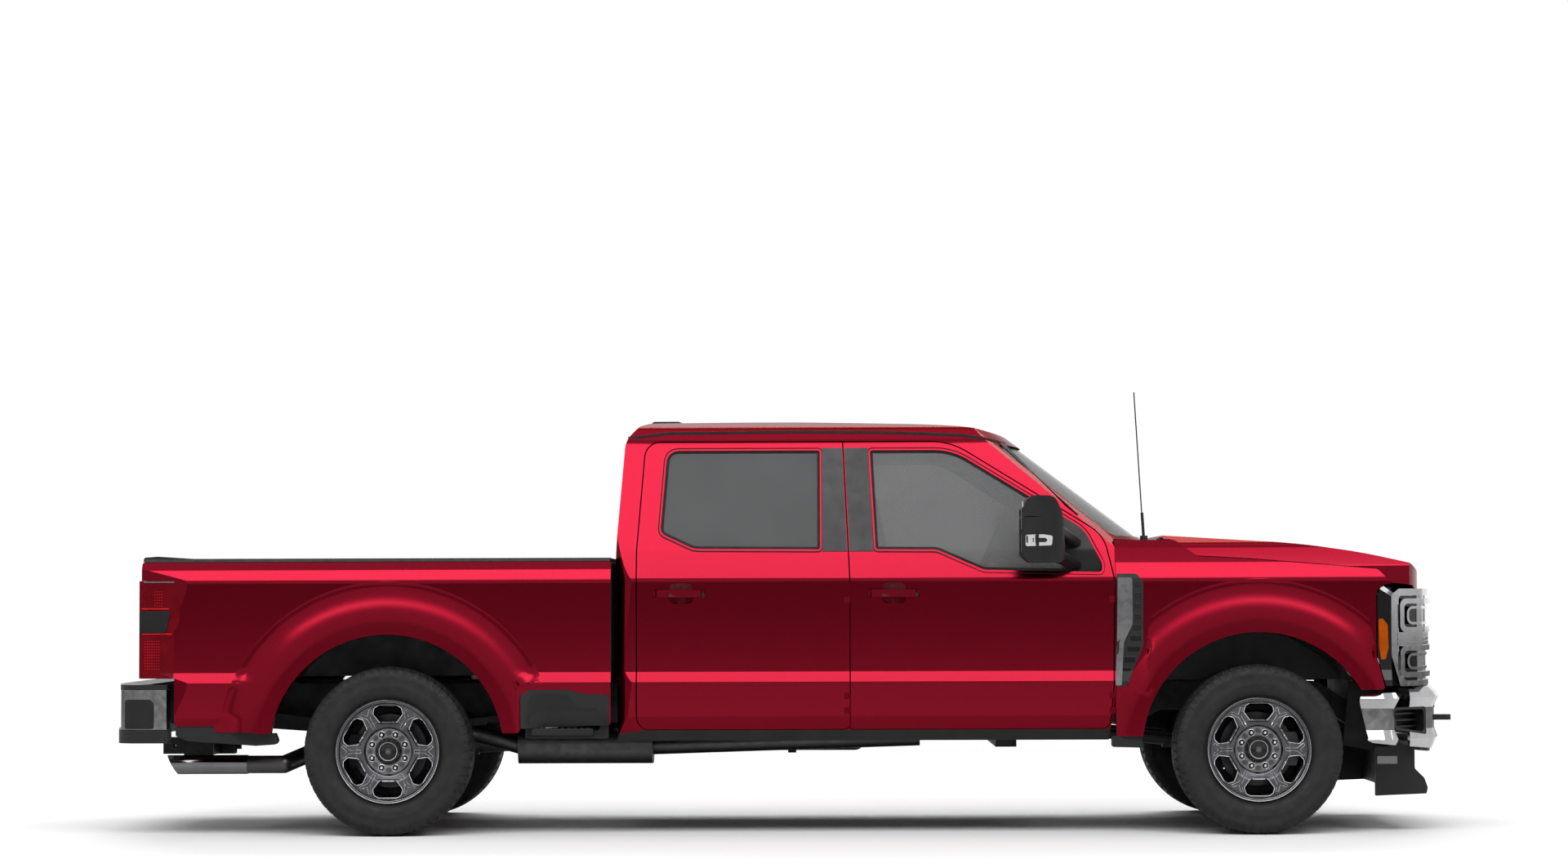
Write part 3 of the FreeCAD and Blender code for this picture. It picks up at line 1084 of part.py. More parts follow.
def make_engine():
    x0 = ENGINE_X
    x1 = ENGINE_X + ENGINE_LENGTH
    keep("engine_block", block(x0, x1, -ENGINE_HALF_WIDTH, ENGINE_HALF_WIDTH, ENGINE_BOTTOM_Z, ENGINE_TOP_Z))
    half = FRAME_RAIL_Y - FRAME_RAIL_WIDTH / 2 - 12
    core = block(RADIATOR_X, RADIATOR_X + 64, -half, half, RAIL_BOTTOM_Z + 90, TIE_BAR_Z - 20)
    reach = SIDE_Y - FENDER_WALL - SEAT
    bar = block(RADIATOR_X, RADIATOR_X + 40, -reach, reach, TIE_BAR_Z - 44, TIE_BAR_Z)
    grille_back = GRILLE_FRONT_X - GRILLE_DEPTH - 320 ** 2 / (2 * NOSE_SWEEP_R) - SEAT
    arms = both(block(RADIATOR_X + 20, grille_back, 280, 320, TIE_BAR_Z - 20, TIE_BAR_Z))
    stays = both(block(RADIATOR_X + 20, LAMP_REAR_X - SEAT, SIDE_Y - 160, SIDE_Y - 110, TIE_BAR_Z - 44,
                       TIE_BAR_Z - 14))
    keep("radiator", join(core, bar, *arms, *stays))


def make_drivetrain():
    """Gearbox, transfer case and both propeller shafts."""
    z = TYRE_RADIUS + 4
    cone = Part.makeCone(70, 112, 240 - SEAT, V(ENGINE_X - 240, 0, GEARBOX_Z), V(1, 0, 0))
    box = rod((ENGINE_X - 230, 0, GEARBOX_Z), (2760, 0, GEARBOX_Z - 25), 92)
    transfer = block(2600, 2780, -110, 250, 470, 620)
    shaft = rod((2620, 0, 520), (DIFF_NOSE_X + 60, 0, z), 52)
    rear_yoke = rod((DIFF_NOSE_X + SEAT, 0, z), (DIFF_NOSE_X + 90, 0, z), 58)
    front_x = FRONT_AXLE - PINION_REACH
    front_shaft = rod((2780, FRONT_DIFF_Y, 510), (front_x - 60, FRONT_DIFF_Y, z), 32)
    front_yoke = rod((front_x - 90, FRONT_DIFF_Y, z), (front_x - SEAT, FRONT_DIFF_Y, z), 40)
    seat = block(CROSS_X + 20, CROSS_X + CROSS_LENGTH - 20, -70, 70, CROSS_TOP_Z, GEARBOX_Z - 20)
    keep("drivetrain", join(cone, box, transfer, shaft, rear_yoke, front_shaft, front_yoke, seat))


def make_axles():
    z = TYRE_RADIUS
    end = HUB_FACE_REAR - 100
    tube_rear = across(0, z, AXLE_TUBE_RADIUS + 6, -end + 40, end - 40)
    ball = Part.makeSphere(REAR_DIFF_RADIUS, V(0, 0, z))
    nose = Part.makeCone(110, 62, DIFF_NOSE_X - 90, V(90, 0, z + 4), V(1, 0, 0))
    flanges = both(across(0, z, 100, end - 52, end - 34)) + both(across(0, z, 46, end - 40, end - BEARING_GAP))
    seats = both(block(-75, 75, LEAF_Y - 44, LEAF_Y + 44, z, LEAF_PAD_Z - SEAT))
    caliper = caliper_shape(-1).translated(V(0, REAR_TRACK / 2, z))
    stay = block(-130, -20, HUB_FACE_REAR - 152, REAR_TRACK / 2 + DISC_IN - 18, z - 34, z + 34)
    keep("rear_axle", join(tube_rear, ball, nose, *flanges, *seats, *both(join(caliper, stay))))
    x = FRONT_AXLE
    inner = KINGPIN_Y - 78
    bar = across(x, z, AXLE_TUBE_RADIUS, -inner, inner)
    diff = Part.makeSphere(FRONT_DIFF_RADIUS, V(x, FRONT_DIFF_Y, z))
    pinion = Part.makeCone(52, 90, 190, V(x - PINION_REACH, FRONT_DIFF_Y, z + 4), V(1, 0, 0))
    yokes = []
    for sign in (1, -1):
        y = sign * KINGPIN_Y
        back = block(x - 44, x + 44, min(y - sign * 92, y - sign * 58), max(y - sign * 92, y - sign * 58),
                     z - YOKE_HALF - 22, z + YOKE_HALF + 22)
        top = rod((x, y, z + YOKE_HALF), (x, y, z + YOKE_HALF + 22), 34)
        low = rod((x, y, z - YOKE_HALF - 22), (x, y, z - YOKE_HALF), 34)
        ears = [block(x - 30, x + 30, min(y, y - sign * 80), max(y, y - sign * 80), a, a + 22)
                for a in (z + YOKE_HALF, z - YOKE_HALF - 22)]
        yokes += [back, top, low] + ears
    spring_seats = both(block(x - 70, x + 70, COIL_Y - 74, COIL_Y + 74, z + 20, COIL_BOTTOM_Z - SEAT))
    keep("front_axle", join(bar, diff, pinion, *yokes, *spring_seats))


def make_springs():
    """Rear leaf packs, front coils with their towers, and the dampers."""
    packs = []
    for i in range(LEAF_COUNT):
        half = 1.0 - 0.2 * i
        z = LEAF_PAD_Z + (LEAF_COUNT - 1 - i) * LEAF_THICKNESS
        front = LEAF_FRONT_X * half
        rear = LEAF_REAR_X * half
        rise = (LEAF_EYE_Z - LEAF_PAD_Z - LEAF_COUNT * LEAF_THICKNESS + 20) * half * half
        low = Part.Arc(V(rear, 0, z + rise), V(0, 0, z), V(front, 0, z + rise)).toShape()
        high = Part.Arc(V(front, 0, z + rise + LEAF_THICKNESS), V(0, 0, z + LEAF_THICKNESS),
                        V(rear, 0, z + rise + LEAF_THICKNESS)).toShape()
        wire = Part.Wire([low, Part.makeLine(V(front, 0, z + rise), V(front, 0, z + rise + LEAF_THICKNESS)),
                          high, Part.makeLine(V(rear, 0, z + rise + LEAF_THICKNESS), V(rear, 0, z + rise))])
        leaf = Part.Face(wire).extrude(V(0, LEAF_WIDTH, 0)).translated(V(0, LEAF_Y - LEAF_WIDTH / 2, 0))
        packs.append(leaf)
    eyes = [across(x, LEAF_EYE_Z - 12, 26, LEAF_Y - LEAF_WIDTH / 2, LEAF_Y + LEAF_WIDTH / 2)
            for x in (LEAF_FRONT_X, LEAF_REAR_X)]
    clamp = block(-60, 60, LEAF_Y - 46, LEAF_Y + 46, LEAF_PAD_Z + 6, LEAF_PAD_Z + 64)
    keep("rear_springs", *both(join(clamp, *packs, *eyes)))
    coils = []
    pitch = (COIL_TOP_Z - COIL_BOTTOM_Z - 24) / 6
    core = rod((FRONT_AXLE, COIL_Y, COIL_BOTTOM_Z), (FRONT_AXLE, COIL_Y, COIL_TOP_Z), COIL_RADIUS - 20)
    for i in range(7):
        z = COIL_BOTTOM_Z + 12 + i * pitch
        coils.append(Part.makeTorus(COIL_RADIUS - 10, 11, V(FRONT_AXLE, COIL_Y, z), V(0, 0, 1)))
    plates = [rod((FRONT_AXLE, COIL_Y, z), (FRONT_AXLE, COIL_Y, z + 6), COIL_RADIUS)
              for z in (COIL_BOTTOM_Z, COIL_TOP_Z - 6)]
    keep("front_springs", *both(join(core, *coils, *plates)))


def spring_towers():
    """Brackets on the frame that the front coils push up against."""
    tower = block(FRONT_AXLE - 80, FRONT_AXLE + 80, FRAME_RAIL_Y + FRAME_RAIL_WIDTH / 2,
                  COIL_Y + 76, COIL_TOP_Z + SEAT, COIL_TOP_Z + 26)
    web = block(FRONT_AXLE - 80, FRONT_AXLE + 80, FRAME_RAIL_Y + FRAME_RAIL_WIDTH / 2 - 60,
                FRAME_RAIL_Y + FRAME_RAIL_WIDTH / 2 + 8, FRAME_RAIL_TOP_Z, COIL_TOP_Z + 26)
    return both(join(tower, web))


def make_exhaust():
    """Muffler, tail pipe over the axle and the bright tip under the bumper."""
    y = MUFFLER_Y
    z = MUFFLER_Z
    oval = [(y - 120, z - 84, 70), (y + 120, z - 84, 70), (y + 120, z + 84, 70), (y - 120, z + 84, 70)]
    muffler = plate_x(oval, 560, 1210)
    front = rod((1200, y, z), (2500, y, z + 40), 44)
    route = [(570, y, z), (360, y - 20, z + 60), (160, y - 60, z + 106), (-260, y - 70, z + 106),
             (-420, y - 150, z - 20), (-520, TIP_Y, TIP_Z), (-700, TIP_Y, TIP_Z)]
    tail = []
    for a, b in zip(route, route[1:]):
        tail.append(rod(a, b, PIPE_RADIUS))
        tail.append(Part.makeSphere(PIPE_RADIUS, V(*b)))
    hangers = [block(x, x + 30, -FRAME_RAIL_Y, y - 80, z + 60, RAIL_BOTTOM_Z - SEAT) for x in (640, 1080)]
    pipe = join(muffler, front, *tail, *hangers)
    keep("exhaust", pipe)
    bore = PIPE_RADIUS + SEAT
    tip = tube((-690, TIP_Y, TIP_Z), (-690 - TIP_LENGTH, TIP_Y, TIP_Z), bore + 3, bore)
    end = -690 - TIP_LENGTH
    slope = [(end - 20, 0), (end + 58, 0), (end + 52, TIP_Z - 46), (end, TIP_Z + 46), (end - 20, ROOF_Z)]
    slash = plate_y(slope, TIP_Y - 100, TIP_Y + 100)
    tip = tip.cut(slash)
    keep("exhaust_tip", tip)


def make_tank():
    tank = plate_y([(980, 352, 50), (2240, 352, 50), (2240, 500, 30), (2100, 600, 40), (980, 600, 40)],
                   110, FRAME_RAIL_Y - FRAME_RAIL_WIDTH / 2 - 6)
    straps = [block(x, x + 40, 100, FRAME_RAIL_Y - FRAME_RAIL_WIDTH / 2, 340, 612) for x in (1180, 1860)]
    band = join(*straps)
    keep("fuel_tank", join(tank, band))


# Wheels, knuckles and steering


def spoke_window(grow):
    """One window of the wheel, larger all round by grow."""
    half = [(140 - grow, -40 - grow * 0.5, 10), (176, -68 - grow, 14), (204, -60 - grow, 16),
            (214 + grow * 0.4, -42 - grow * 0.4, 16)]
    return half + [(p[0], -p[1], p[2]) for p in reversed(half)]


def rim_shape():
    """Cast wheel on the y axis, outer face towards +y, with six windows and eight lugs."""
    half = RIM_WIDTH / 2
    wall = RIM_WALL
    barrel = turned([(RIM_RADIUS - wall - 16, -half), (RIM_RADIUS, -half), (RIM_RADIUS, -half + wall),
                     (BEAD_RADIUS, -half + wall), (BEAD_RADIUS, -half + 46), (WELL_RADIUS, -half + 60),
                     (WELL_RADIUS, half - 76), (BEAD_RADIUS, half - 56), (BEAD_RADIUS, half - wall),
                     (RIM_RADIUS, half - wall), (RIM_RADIUS, half, 4), (RIM_RADIUS - wall - 5, half, 4),
                     (BEAD_RADIUS - wall, half - 24), (BEAD_RADIUS - wall, half - 60),
                     (WELL_RADIUS - wall, half - 78), (WELL_RADIUS - wall, -half + 56),
                     (BEAD_RADIUS - wall, -half + 40)], 0, 0, 0, "y")
    face = turned([(28, RIM_OFFSET), (112, RIM_OFFSET), (146, RIM_OFFSET + 22), (222, half - 32),
                   (224, half - 10), (212, half - 8, 6), (150, RIM_OFFSET + 58, 30),
                   (112, RIM_OFFSET + 46, 10), (106, RIM_OFFSET + 26), (28, RIM_OFFSET + 26)], 0, 0, 0, "y")
    skim = turned([(100, RIM_OFFSET + 41), (112, RIM_OFFSET + 40), (150, RIM_OFFSET + 52), (212, half - 14),
                   (226, half - 16), (226, half + 30), (100, half + 30)], 0, 0, 0, "y")
    cuts = []
    for i in range(WINDOW_COUNT):
        angle = 90 + 360.0 / WINDOW_COUNT * i
        window = plate_y(spoke_window(0), RIM_OFFSET - 20, half + 20)
        lip = plate_y(spoke_window(13), RIM_OFFSET - 20, half + 20).common(skim)
        groove = plate_y(SPOKE_GROOVE, RIM_OFFSET - 20, half + 20).common(skim)
        cuts.append(window.rotate(V(0, 0, 0), V(0, 1, 0), angle))
        cuts.append(lip.rotate(V(0, 0, 0), V(0, 1, 0), angle))
        cuts.append(groove.rotate(V(0, 0, 0), V(0, 1, 0), angle + 180.0 / WINDOW_COUNT))
    face = face.cut(cuts)
    lugs = []
    for i in range(LUG_COUNT):
        angle = math.radians(360.0 / LUG_COUNT * i)
        x = LUG_CIRCLE_RADIUS * math.cos(angle)
        z = LUG_CIRCLE_RADIUS * math.sin(angle)
        lugs.append(rod((x, RIM_OFFSET + 20, z), (x, RIM_OFFSET + 50, z), LUG_RADIUS))
    cap = turned([(0, RIM_OFFSET + 20), (HUB_CAP_RADIUS, RIM_OFFSET + 20),
                  (HUB_CAP_RADIUS, RIM_OFFSET + 46, 8), (0, RIM_OFFSET + 52)], 0, 0, 0, "y")
    return join(barrel, face, cap, *lugs)


def tyre_shape():
    """Hollow tyre seated on the rim's beads."""
    seat = BEAD_RADIUS + SEAT
    bead = RIM_WIDTH / 2 - RIM_WALL - SEAT
    side = TYRE_WIDTH / 2
    outer = [(seat, bead - 24), (seat, bead), (RIM_RADIUS + 4, bead), (RIM_RADIUS + 12, side - 16, 8),
             (RIM_RADIUS + 60, side, 50), (TYRE_RADIUS - 46, side - 1, 44), (TYRE_RADIUS - 12, side - 18, 16),
             (TYRE_RADIUS, side - 40, 14)]
    inner = [(TYRE_RADIUS - 18, side - 44, 20), (TYRE_RADIUS - 44, side - 18, 30),
             (RIM_RADIUS + 60, side - 14, 40), (RIM_RADIUS + 14, bead - 10, 10)]
    profile = outer + [(p[0], -p[1]) + tuple(p[2:]) for p in reversed(outer)]
    profile += [(p[0], -p[1]) + tuple(p[2:]) for p in reversed(inner)] + inner
    return turned(profile, 0, 0, 0, "y")


def hub_shape():
    """Hub and brake disc that the wheel bolts to; y = 0 is the wheel's centre plane."""
    hub = turned([(0, RIM_OFFSET - HUB_LENGTH), (HUB_RADIUS, RIM_OFFSET - HUB_LENGTH),
                  (HUB_RADIUS, RIM_OFFSET - 14), (108, RIM_OFFSET - 14), (108, RIM_OFFSET), (0, RIM_OFFSET)],
                 0, 0, 0, "y")
    disc = turned([(HUB_RADIUS - 8, DISC_IN), (DISC_BRAKE_RADIUS, DISC_IN), (DISC_BRAKE_RADIUS, DISC_OUT),
                   (HUB_RADIUS - 8, DISC_OUT)], 0, 0, 0, "y")
    return join(hub, disc)


def caliper_shape(sign):
    """Caliper round the disc's edge, on the side of the wheel given by sign."""
    ring = turned([(118, DISC_IN - 22), (200, DISC_IN - 22), (200, DISC_OUT + 18), (118, DISC_OUT + 18)],
                  0, 0, 0, "y")
    slot = turned([(0, DISC_IN - CALIPER_GAP), (DISC_BRAKE_RADIUS + CALIPER_GAP, DISC_IN - CALIPER_GAP),
                   (DISC_BRAKE_RADIUS + CALIPER_GAP, DISC_OUT + CALIPER_GAP), (0, DISC_OUT + CALIPER_GAP)],
                  0, 0, 0, "y")
    near, far = sorted((sign * 80, sign * 260))
    return ring.cut(slot).common(block(near, far, -200, 200, -78, 78))


def wheel_centres():
    return {"front": (FRONT_AXLE, FRONT_TRACK / 2), "rear": (0.0, REAR_TRACK / 2)}


def make_wheels():
    rim = rim_shape()
    tyre = tyre_shape()
    hub = hub_shape()
    for end, (x, y) in wheel_centres().items():
        place = V(x, y, TYRE_RADIUS)
        for node, shape in (("rim", join(rim, hub)), ("tyre", tyre)):
            left = shape.translated(place)
            keep(node + "_" + end + "_left", left)
            keep(node + "_" + end + "_right", mirrored(left))


def make_knuckles():
    x, y, z = FRONT_AXLE, KINGPIN_Y, TYRE_RADIUS
    pin = rod((x, y, z - YOKE_HALF + BEARING_GAP), (x, y, z + YOKE_HALF - BEARING_GAP), KINGPIN_RADIUS)
    hub_end = HUB_FACE_FRONT - HUB_LENGTH - BEARING_GAP
    spindle = across(x, z, 44, y, hub_end)
    arm_low = TIE_ROD_Z + BALL_RADIUS
    arm_side = [(x - 40, z - 40), (x + 20, z - 40), (x + 20, z - 70), (x - 60, arm_low),
                (x - ARM_LENGTH - 22, arm_low, 4), (x - ARM_LENGTH - 22, arm_low + 20, 8)]
    arm = plate_y(arm_side, y - 22, y + 22)
    caliper = caliper_shape(1).translated(V(x, FRONT_TRACK / 2, z))
    bracket = block(x + 20, x + 130, hub_end - 46, FRONT_TRACK / 2 + DISC_IN - 18, z - 34, z + 34)
    post = block(x + 20, x + 70, y, hub_end - 40, z - 34, z + 34)
    left = join(pin, spindle, arm, caliper, bracket, post)
    keep("knuckle_left", left)
    keep("knuckle_right", mirrored(left))
    tie = rod((x - ARM_LENGTH, -y, TIE_ROD_Z), (x - ARM_LENGTH, y, TIE_ROD_Z), TIE_ROD_RADIUS)
    low = TIE_ROD_Z - BALL_RADIUS
    high = TIE_ROD_Z + BALL_RADIUS - SEAT
    ends = both(rod((x - ARM_LENGTH, y, low), (x - ARM_LENGTH, y, high), BALL_RADIUS))
    keep("tie_rod", join(tie, *ends))


def along_column(distance):
    """Point on the steering column, ahead of the wheel's centre by distance."""
    tilt = math.radians(COLUMN_TILT)
    return (STEERING_WHEEL_X + distance * math.cos(tilt), STEERING_WHEEL_Y,
            STEERING_WHEEL_Z - distance * math.sin(tilt))


def make_steering_wheel():
    """Three-spoke wheel, made flat and then leaned back onto the column."""
    ring = Part.makeTorus(STEERING_WHEEL_RADIUS, 15)
    hub = rod((0, 0, -46), (0, 0, 8), 62)
    spokes = [block(0, STEERING_WHEEL_RADIUS, -20, 20, -16, -2).rotate(V(0, 0, 0), V(0, 0, 1), a)
              for a in (-90, 0, 90)]
    stub = rod((0, 0, -110), (0, 0, -40), 24)
    wheel = join(ring, hub, stub, *spokes)
    wheel = wheel.rotate(V(0, 0, 0), V(0, 0, 1), 180)
    wheel = wheel.rotate(V(0, 0, 0), V(0, 1, 0), COLUMN_TILT - 90)
    keep("steering_wheel", wheel.translated(V(*along_column(0))))


# Interior


def make_dashboard():
    half = SIDE_Y - DOOR_THICKNESS - 30
    low = DASH_TOP_Z - 330
    side = [(DASH_REAR_X + 110, low, 30), (DASH_REAR_X + 40, low + 120, 30), (DASH_REAR_X, low + 270, 40),
            (DASH_REAR_X + 40, DASH_TOP_Z - 8, 30), (FIREWALL_X - FIREWALL_THICKNESS - 140, DASH_TOP_Z, 60),
            (FIREWALL_X - FIREWALL_THICKNESS - SEAT, DASH_TOP_Z - 90),
            (FIREWALL_X - FIREWALL_THICKNESS - SEAT, low)]
    board = plate_y(side, -half, half)
    column = rod(along_column(110 + SEAT), along_column(260), 30)
    shroud = rod(along_column(112), along_column(230), 52)
    keep("dashboard", join(board, column, shroud))
    base = CAB_FLOOR_Z + SEAT
    side = [(2420, base), (3180, base), (3180, 940, 30), (2960, 1010, 40), (2420, 1035, 30)]
    console = plate_y(side, -130, 130)
    keep("dashboard", console)


def seat(x, y, width):
    """Seat with riser, cushion, reclined back and headrest."""
    base = CAB_FLOOR_Z + SEAT
    riser = block(x + 40, x + 470, y - width / 2 + 40, y + width / 2 - 40, base, SEAT_Z - 120)
    cushion = plate_y([(x, SEAT_Z - 160, 30), (x + 500, SEAT_Z - 140, 40), (x + 500, SEAT_Z, 50),
                       (x + 40, SEAT_Z - 40, 60)], y - width / 2, y + width / 2)
    back = plate_y([(x - 40, SEAT_Z - 110, 40), (x + 110, SEAT_Z - 80, 40), (x - 50, SEAT_Z + 520, 50),
                    (x - 180, SEAT_Z + 500, 40)], y - width / 2, y + width / 2)
    return join(riser, cushion, back)


def headrest(x, y):
    post = block(x - 132, x - 108, y - 60, y + 60, SEAT_Z + 460, SEAT_Z + 560)
    pad = plate_y([(x - 196, SEAT_Z + 545, 30), (x - 76, SEAT_Z + 545, 30), (x - 90, SEAT_Z + 700, 40),
                   (x - 190, SEAT_Z + 700, 40)], y - 130, y + 130)
    return join(post, pad)


def make_seats():
    front = []
    for y in (-FRONT_SEAT_Y, FRONT_SEAT_Y):
        front.append(join(seat(FRONT_SEAT_X, y, 520), headrest(FRONT_SEAT_X, y)))
    keep("front_seats", *front)
    rear = seat(REAR_SEAT_X, 0, 1500)
    keep("rear_seat", join(rear, *[headrest(REAR_SEAT_X, y) for y in (-480, 0, 480)]))


# Mirrors, bumper, trim and small outside pieces


def arm_section(y, x0, x1, low, high):
    """Rounded cross-section of a mirror arm at one distance out."""
    return outline([(x0, low, 14), (x1, low, 14), (x1, high, 14), (x0, high, 14)], on_xz(y))


def make_mirrors():
    """Tow mirror: tall housing on two arms from a sail plate in the window's corner."""
    front = MIRROR_X + MIRROR_DEPTH
    out = MIRROR_OUTER_Y
    head_plan = [(MIRROR_X, out - 232, 30), (MIRROR_X, out - 8, 30), (MIRROR_X + 70, out, 40),
                 (front, out - 70, 70), (front - 10, out - 226, 50)]
    head = plate_z(head_plan, MIRROR_LOW_Z, MIRROR_HIGH_Z)
    side = [(MIRROR_X, MIRROR_LOW_Z + 35, 25), (MIRROR_X + 39, MIRROR_LOW_Z, 30),
            (front - 20, MIRROR_LOW_Z, 30), (front, MIRROR_LOW_Z + 30, 30),
            (front - 15, MIRROR_HIGH_Z - 77, 60), (front - 53, MIRROR_HIGH_Z, 50),
            (MIRROR_X + 38, MIRROR_HIGH_Z, 50), (MIRROR_X, MIRROR_HIGH_Z - 70, 50)]
    head = head.common(plate_y(side, 0, BODY_WIDTH))
    recess = block(MIRROR_X - 10, MIRROR_X + 9, out - 214, out - 22, MIRROR_LOW_Z + 50, MIRROR_HIGH_Z - 26)
    seam = plate_z([(p[0], p[1]) for p in head_plan], MIRROR_SEAM_Z, MIRROR_SEAM_Z + 4)
    seam = seam.cut(seam.copy().translated(V(6, -5, 0)).common(seam.copy().translated(V(-6, 5, 0))))
    head = head.cut([recess, seam])
    root = SIDE_Y - BELT_INSET - 16
    low = MIRROR_LOW_Z
    arms = []
    for start, end in (((3194, 3246, low - 36, low + 6), (3070, 3148, low + 12, low + 58)),
                       ((3190, 3242, low + 72, low + 112), (3070, 3142, low + 118, low + 176))):
        arms.append(Part.makeLoft([arm_section(root, *start), arm_section(out - 200, *end)], True, True))
    sail_layer = skin_core(-2).cut(skin_core(15))
    window = grown(FRONT_WINDOW_OUTLINE, -SEAT)
    sail = sail_layer.common(window).common(block(SAIL_X, FIREWALL_X, 0, BODY_WIDTH, 0, ROOF_Z))
    left = join(head, sail, *arms)
    keep("mirror_left", left)
    keep("mirror_right", mirrored(left))


def bumper_plan(inset):
    return front_plan(inset, BUMPER_REAR_X - 60, BUMPER_FRONT_X, BUMPER_SWEEP_R, BUMPER_SIDE_Y, BUMPER_BEND_X,
                      BUMPER_BEND_Y)


def bumper_top(x):
    """Height of the bumper's upper edge, which climbs towards the nose."""
    share = (x - BUMPER_REAR_X) / (BUMPER_FRONT_X - 126 - BUMPER_REAR_X)
    return BUMPER_TOP_Z - 40 * (1 - min(share, 1.0))


def bumper_bottom(x):
    """Height of the bumper's lower edge, which falls towards the nose."""
    share = (x - BUMPER_REAR_X - 41) / (BUMPER_FRONT_X - 103 - BUMPER_REAR_X - 41)
    return BUMPER_BOTTOM_Z + 39 * (1 - min(share, 1.0))


def duct_face(along, depth, z):
    """Point on the bumper's slanted left corner: along it from its rear end, and inwards."""
    corner = V(BUMPER_BEND_X, BUMPER_SIDE_Y, 0)
    meet_x = BUMPER_FRONT_X - BUMPER_SWEEP_R + math.sqrt(BUMPER_SWEEP_R ** 2 - BUMPER_BEND_Y ** 2)
    run = (V(meet_x, BUMPER_BEND_Y, 0) - corner).normalize()
    point = corner + run * along - V(-run.y, run.x, 0) * depth
    return V(point.x, point.y, z)


def duct_prism(inset, start, end):
    """Rounded duct shape, in by inset, from one depth to another."""
    points = [(34 + inset, 586 - inset, 22), (330 - inset, 586 - inset, 22),
              (330 - inset, 454 + inset, 22), (66 + inset, 482 + inset, 22)]
    face = Part.Face(outline(points, lambda a, b: duct_face(a, start, b)))
    return face.extrude(duct_face(0, end, 0) - duct_face(0, start, 0))


def make_front_bumper():
    """Bright bumper with a lofted face, slanted corners with ducts, and the tow hooks."""
    levels = ((BUMPER_BOTTOM_Z - 4, 26), (BUMPER_BOTTOM_Z + 51, 5), (BUMPER_BOTTOM_Z + 95, 19),
              (BUMPER_TOP_Z - 99, 19), (BUMPER_TOP_Z - 52, 0), (BUMPER_TOP_Z - 27, 14), (BUMPER_TOP_Z + 4, 48))
    rings = [outline(bumper_plan(inset), on_xy(z)) for z, inset in levels]
    body = Part.makeLoft(rings, True, True)
    ahead = BUMPER_FRONT_X + 60
    side = [(BUMPER_REAR_X - 4, bumper_top(BUMPER_REAR_X) - 20, 30),
            (BUMPER_REAR_X + 4, bumper_top(BUMPER_REAR_X), 8),
            (BUMPER_FRONT_X - 126, BUMPER_TOP_Z, 200), (ahead, BUMPER_TOP_Z), (ahead, BUMPER_BOTTOM_Z),
            (BUMPER_FRONT_X - 103, BUMPER_BOTTOM_Z, 200),
            (BUMPER_REAR_X + 41, bumper_bottom(BUMPER_REAR_X + 41), 30)]
    body = body.common(plate_y(side, -BODY_WIDTH, BODY_WIDTH))
    inner = BUMPER_SIDE_Y - BUMPER_WALL
    room = plate_z(front_plan(BUMPER_WALL, BUMPER_REAR_X - 100, BUMPER_FRONT_X, BUMPER_SWEEP_R, BUMPER_SIDE_Y,
                              BUMPER_BEND_X, BUMPER_BEND_Y), 0, BUMPER_TOP_Z - 42)
    behind = block(BUMPER_REAR_X - 100, BUMPER_FRONT_X - 240, -inner, inner, 0, ROOF_Z)
    ducts = duct_prism(0, -80, 160)
    slot = block(FENDER_FRONT_X, ahead, -HOOK_Y + 90, HOOK_Y - 90, 448, 560)
    hooks = both(block(FENDER_FRONT_X, ahead, HOOK_Y - 36, HOOK_Y + 36, 494, 556))
    body = body.cut([room, behind, slot] + both(ducts) + hooks)
    bracket = block(FRONT_AXLE + 700, BUMPER_FRONT_X - 45, HOOK_Y - 80,
                    FRAME_RAIL_Y - FRAME_RAIL_WIDTH / 2 - SEAT, 570, 640)
    keep("front_bumper", join(body, *both(bracket)))
    y = HOOK_Y
    loop = plate_z([(FRAME_FRONT_X + SEAT, y - 22), (FRONT_END - 24, y - 24, 16), (FRONT_END, y - 9, 6),
                    (FRONT_END, y + 9, 6), (FRONT_END - 24, y + 24, 16), (FRAME_FRONT_X + SEAT, y + 22)],
                   512, 538)
    keep("tow_hooks", *both(loop.cut(rod((FRONT_END - 30, y, 500), (FRONT_END - 30, y, 560), 11))))
    cup = duct_prism(SEAT, 22, 110).cut(duct_prism(12, 10, 96))
    grid = duct_prism(SEAT + 2, 60, 74)
    bars = [grid.common(block(0, ahead, 0, BODY_WIDTH, z, z + 8)) for z in (490, 520, 550)]
    keep("bumper_ducts", *both(join(cup, *bars)))


def make_air_dam():
    """Skirt under the bumper, stepped forward at its foot, hung from a flange."""
    low = BUMPER_BOTTOM_Z - 221
    rear = FRONT_AXLE + 576
    face = FRONT_AXLE + 759
    side = [(rear, BUMPER_BOTTOM_Z + 10), (rear, low), (face + 55, low + 10, 8), (face + 61, low + 38, 10),
            (face + 45, low + 84, 16), (face, low + 128, 20), (face, BUMPER_BOTTOM_Z + 10)]
    skirt = plate_y(side, -740, 740)
    skirt = skirt.cut(block(rear - 10, face - 24, -700, 700, 0, BUMPER_BOTTOM_Z + 40))
    top = [(x, bumper_bottom(x) - SEAT) for x in (face - 120, BUMPER_FRONT_X - 103, BUMPER_FRONT_X - 20)]
    bottom = [(x, z - 16) for x, z in reversed(top)]
    flange = plate_y(top + bottom, -740, 740).common(
        plate_z(bumper_plan(40), 0, BUMPER_TOP_Z))
    skirt = skirt.common(plate_y([(0, 0), (FRONT_END, 0)] + [(x, z) for x, z in reversed(
        [(0, bumper_bottom(face) - SEAT), (face, bumper_bottom(face) - SEAT),
         (FRONT_END, BUMPER_BOTTOM_Z - SEAT)])], -800, 800))
    keep("air_dam", join(skirt, flange))


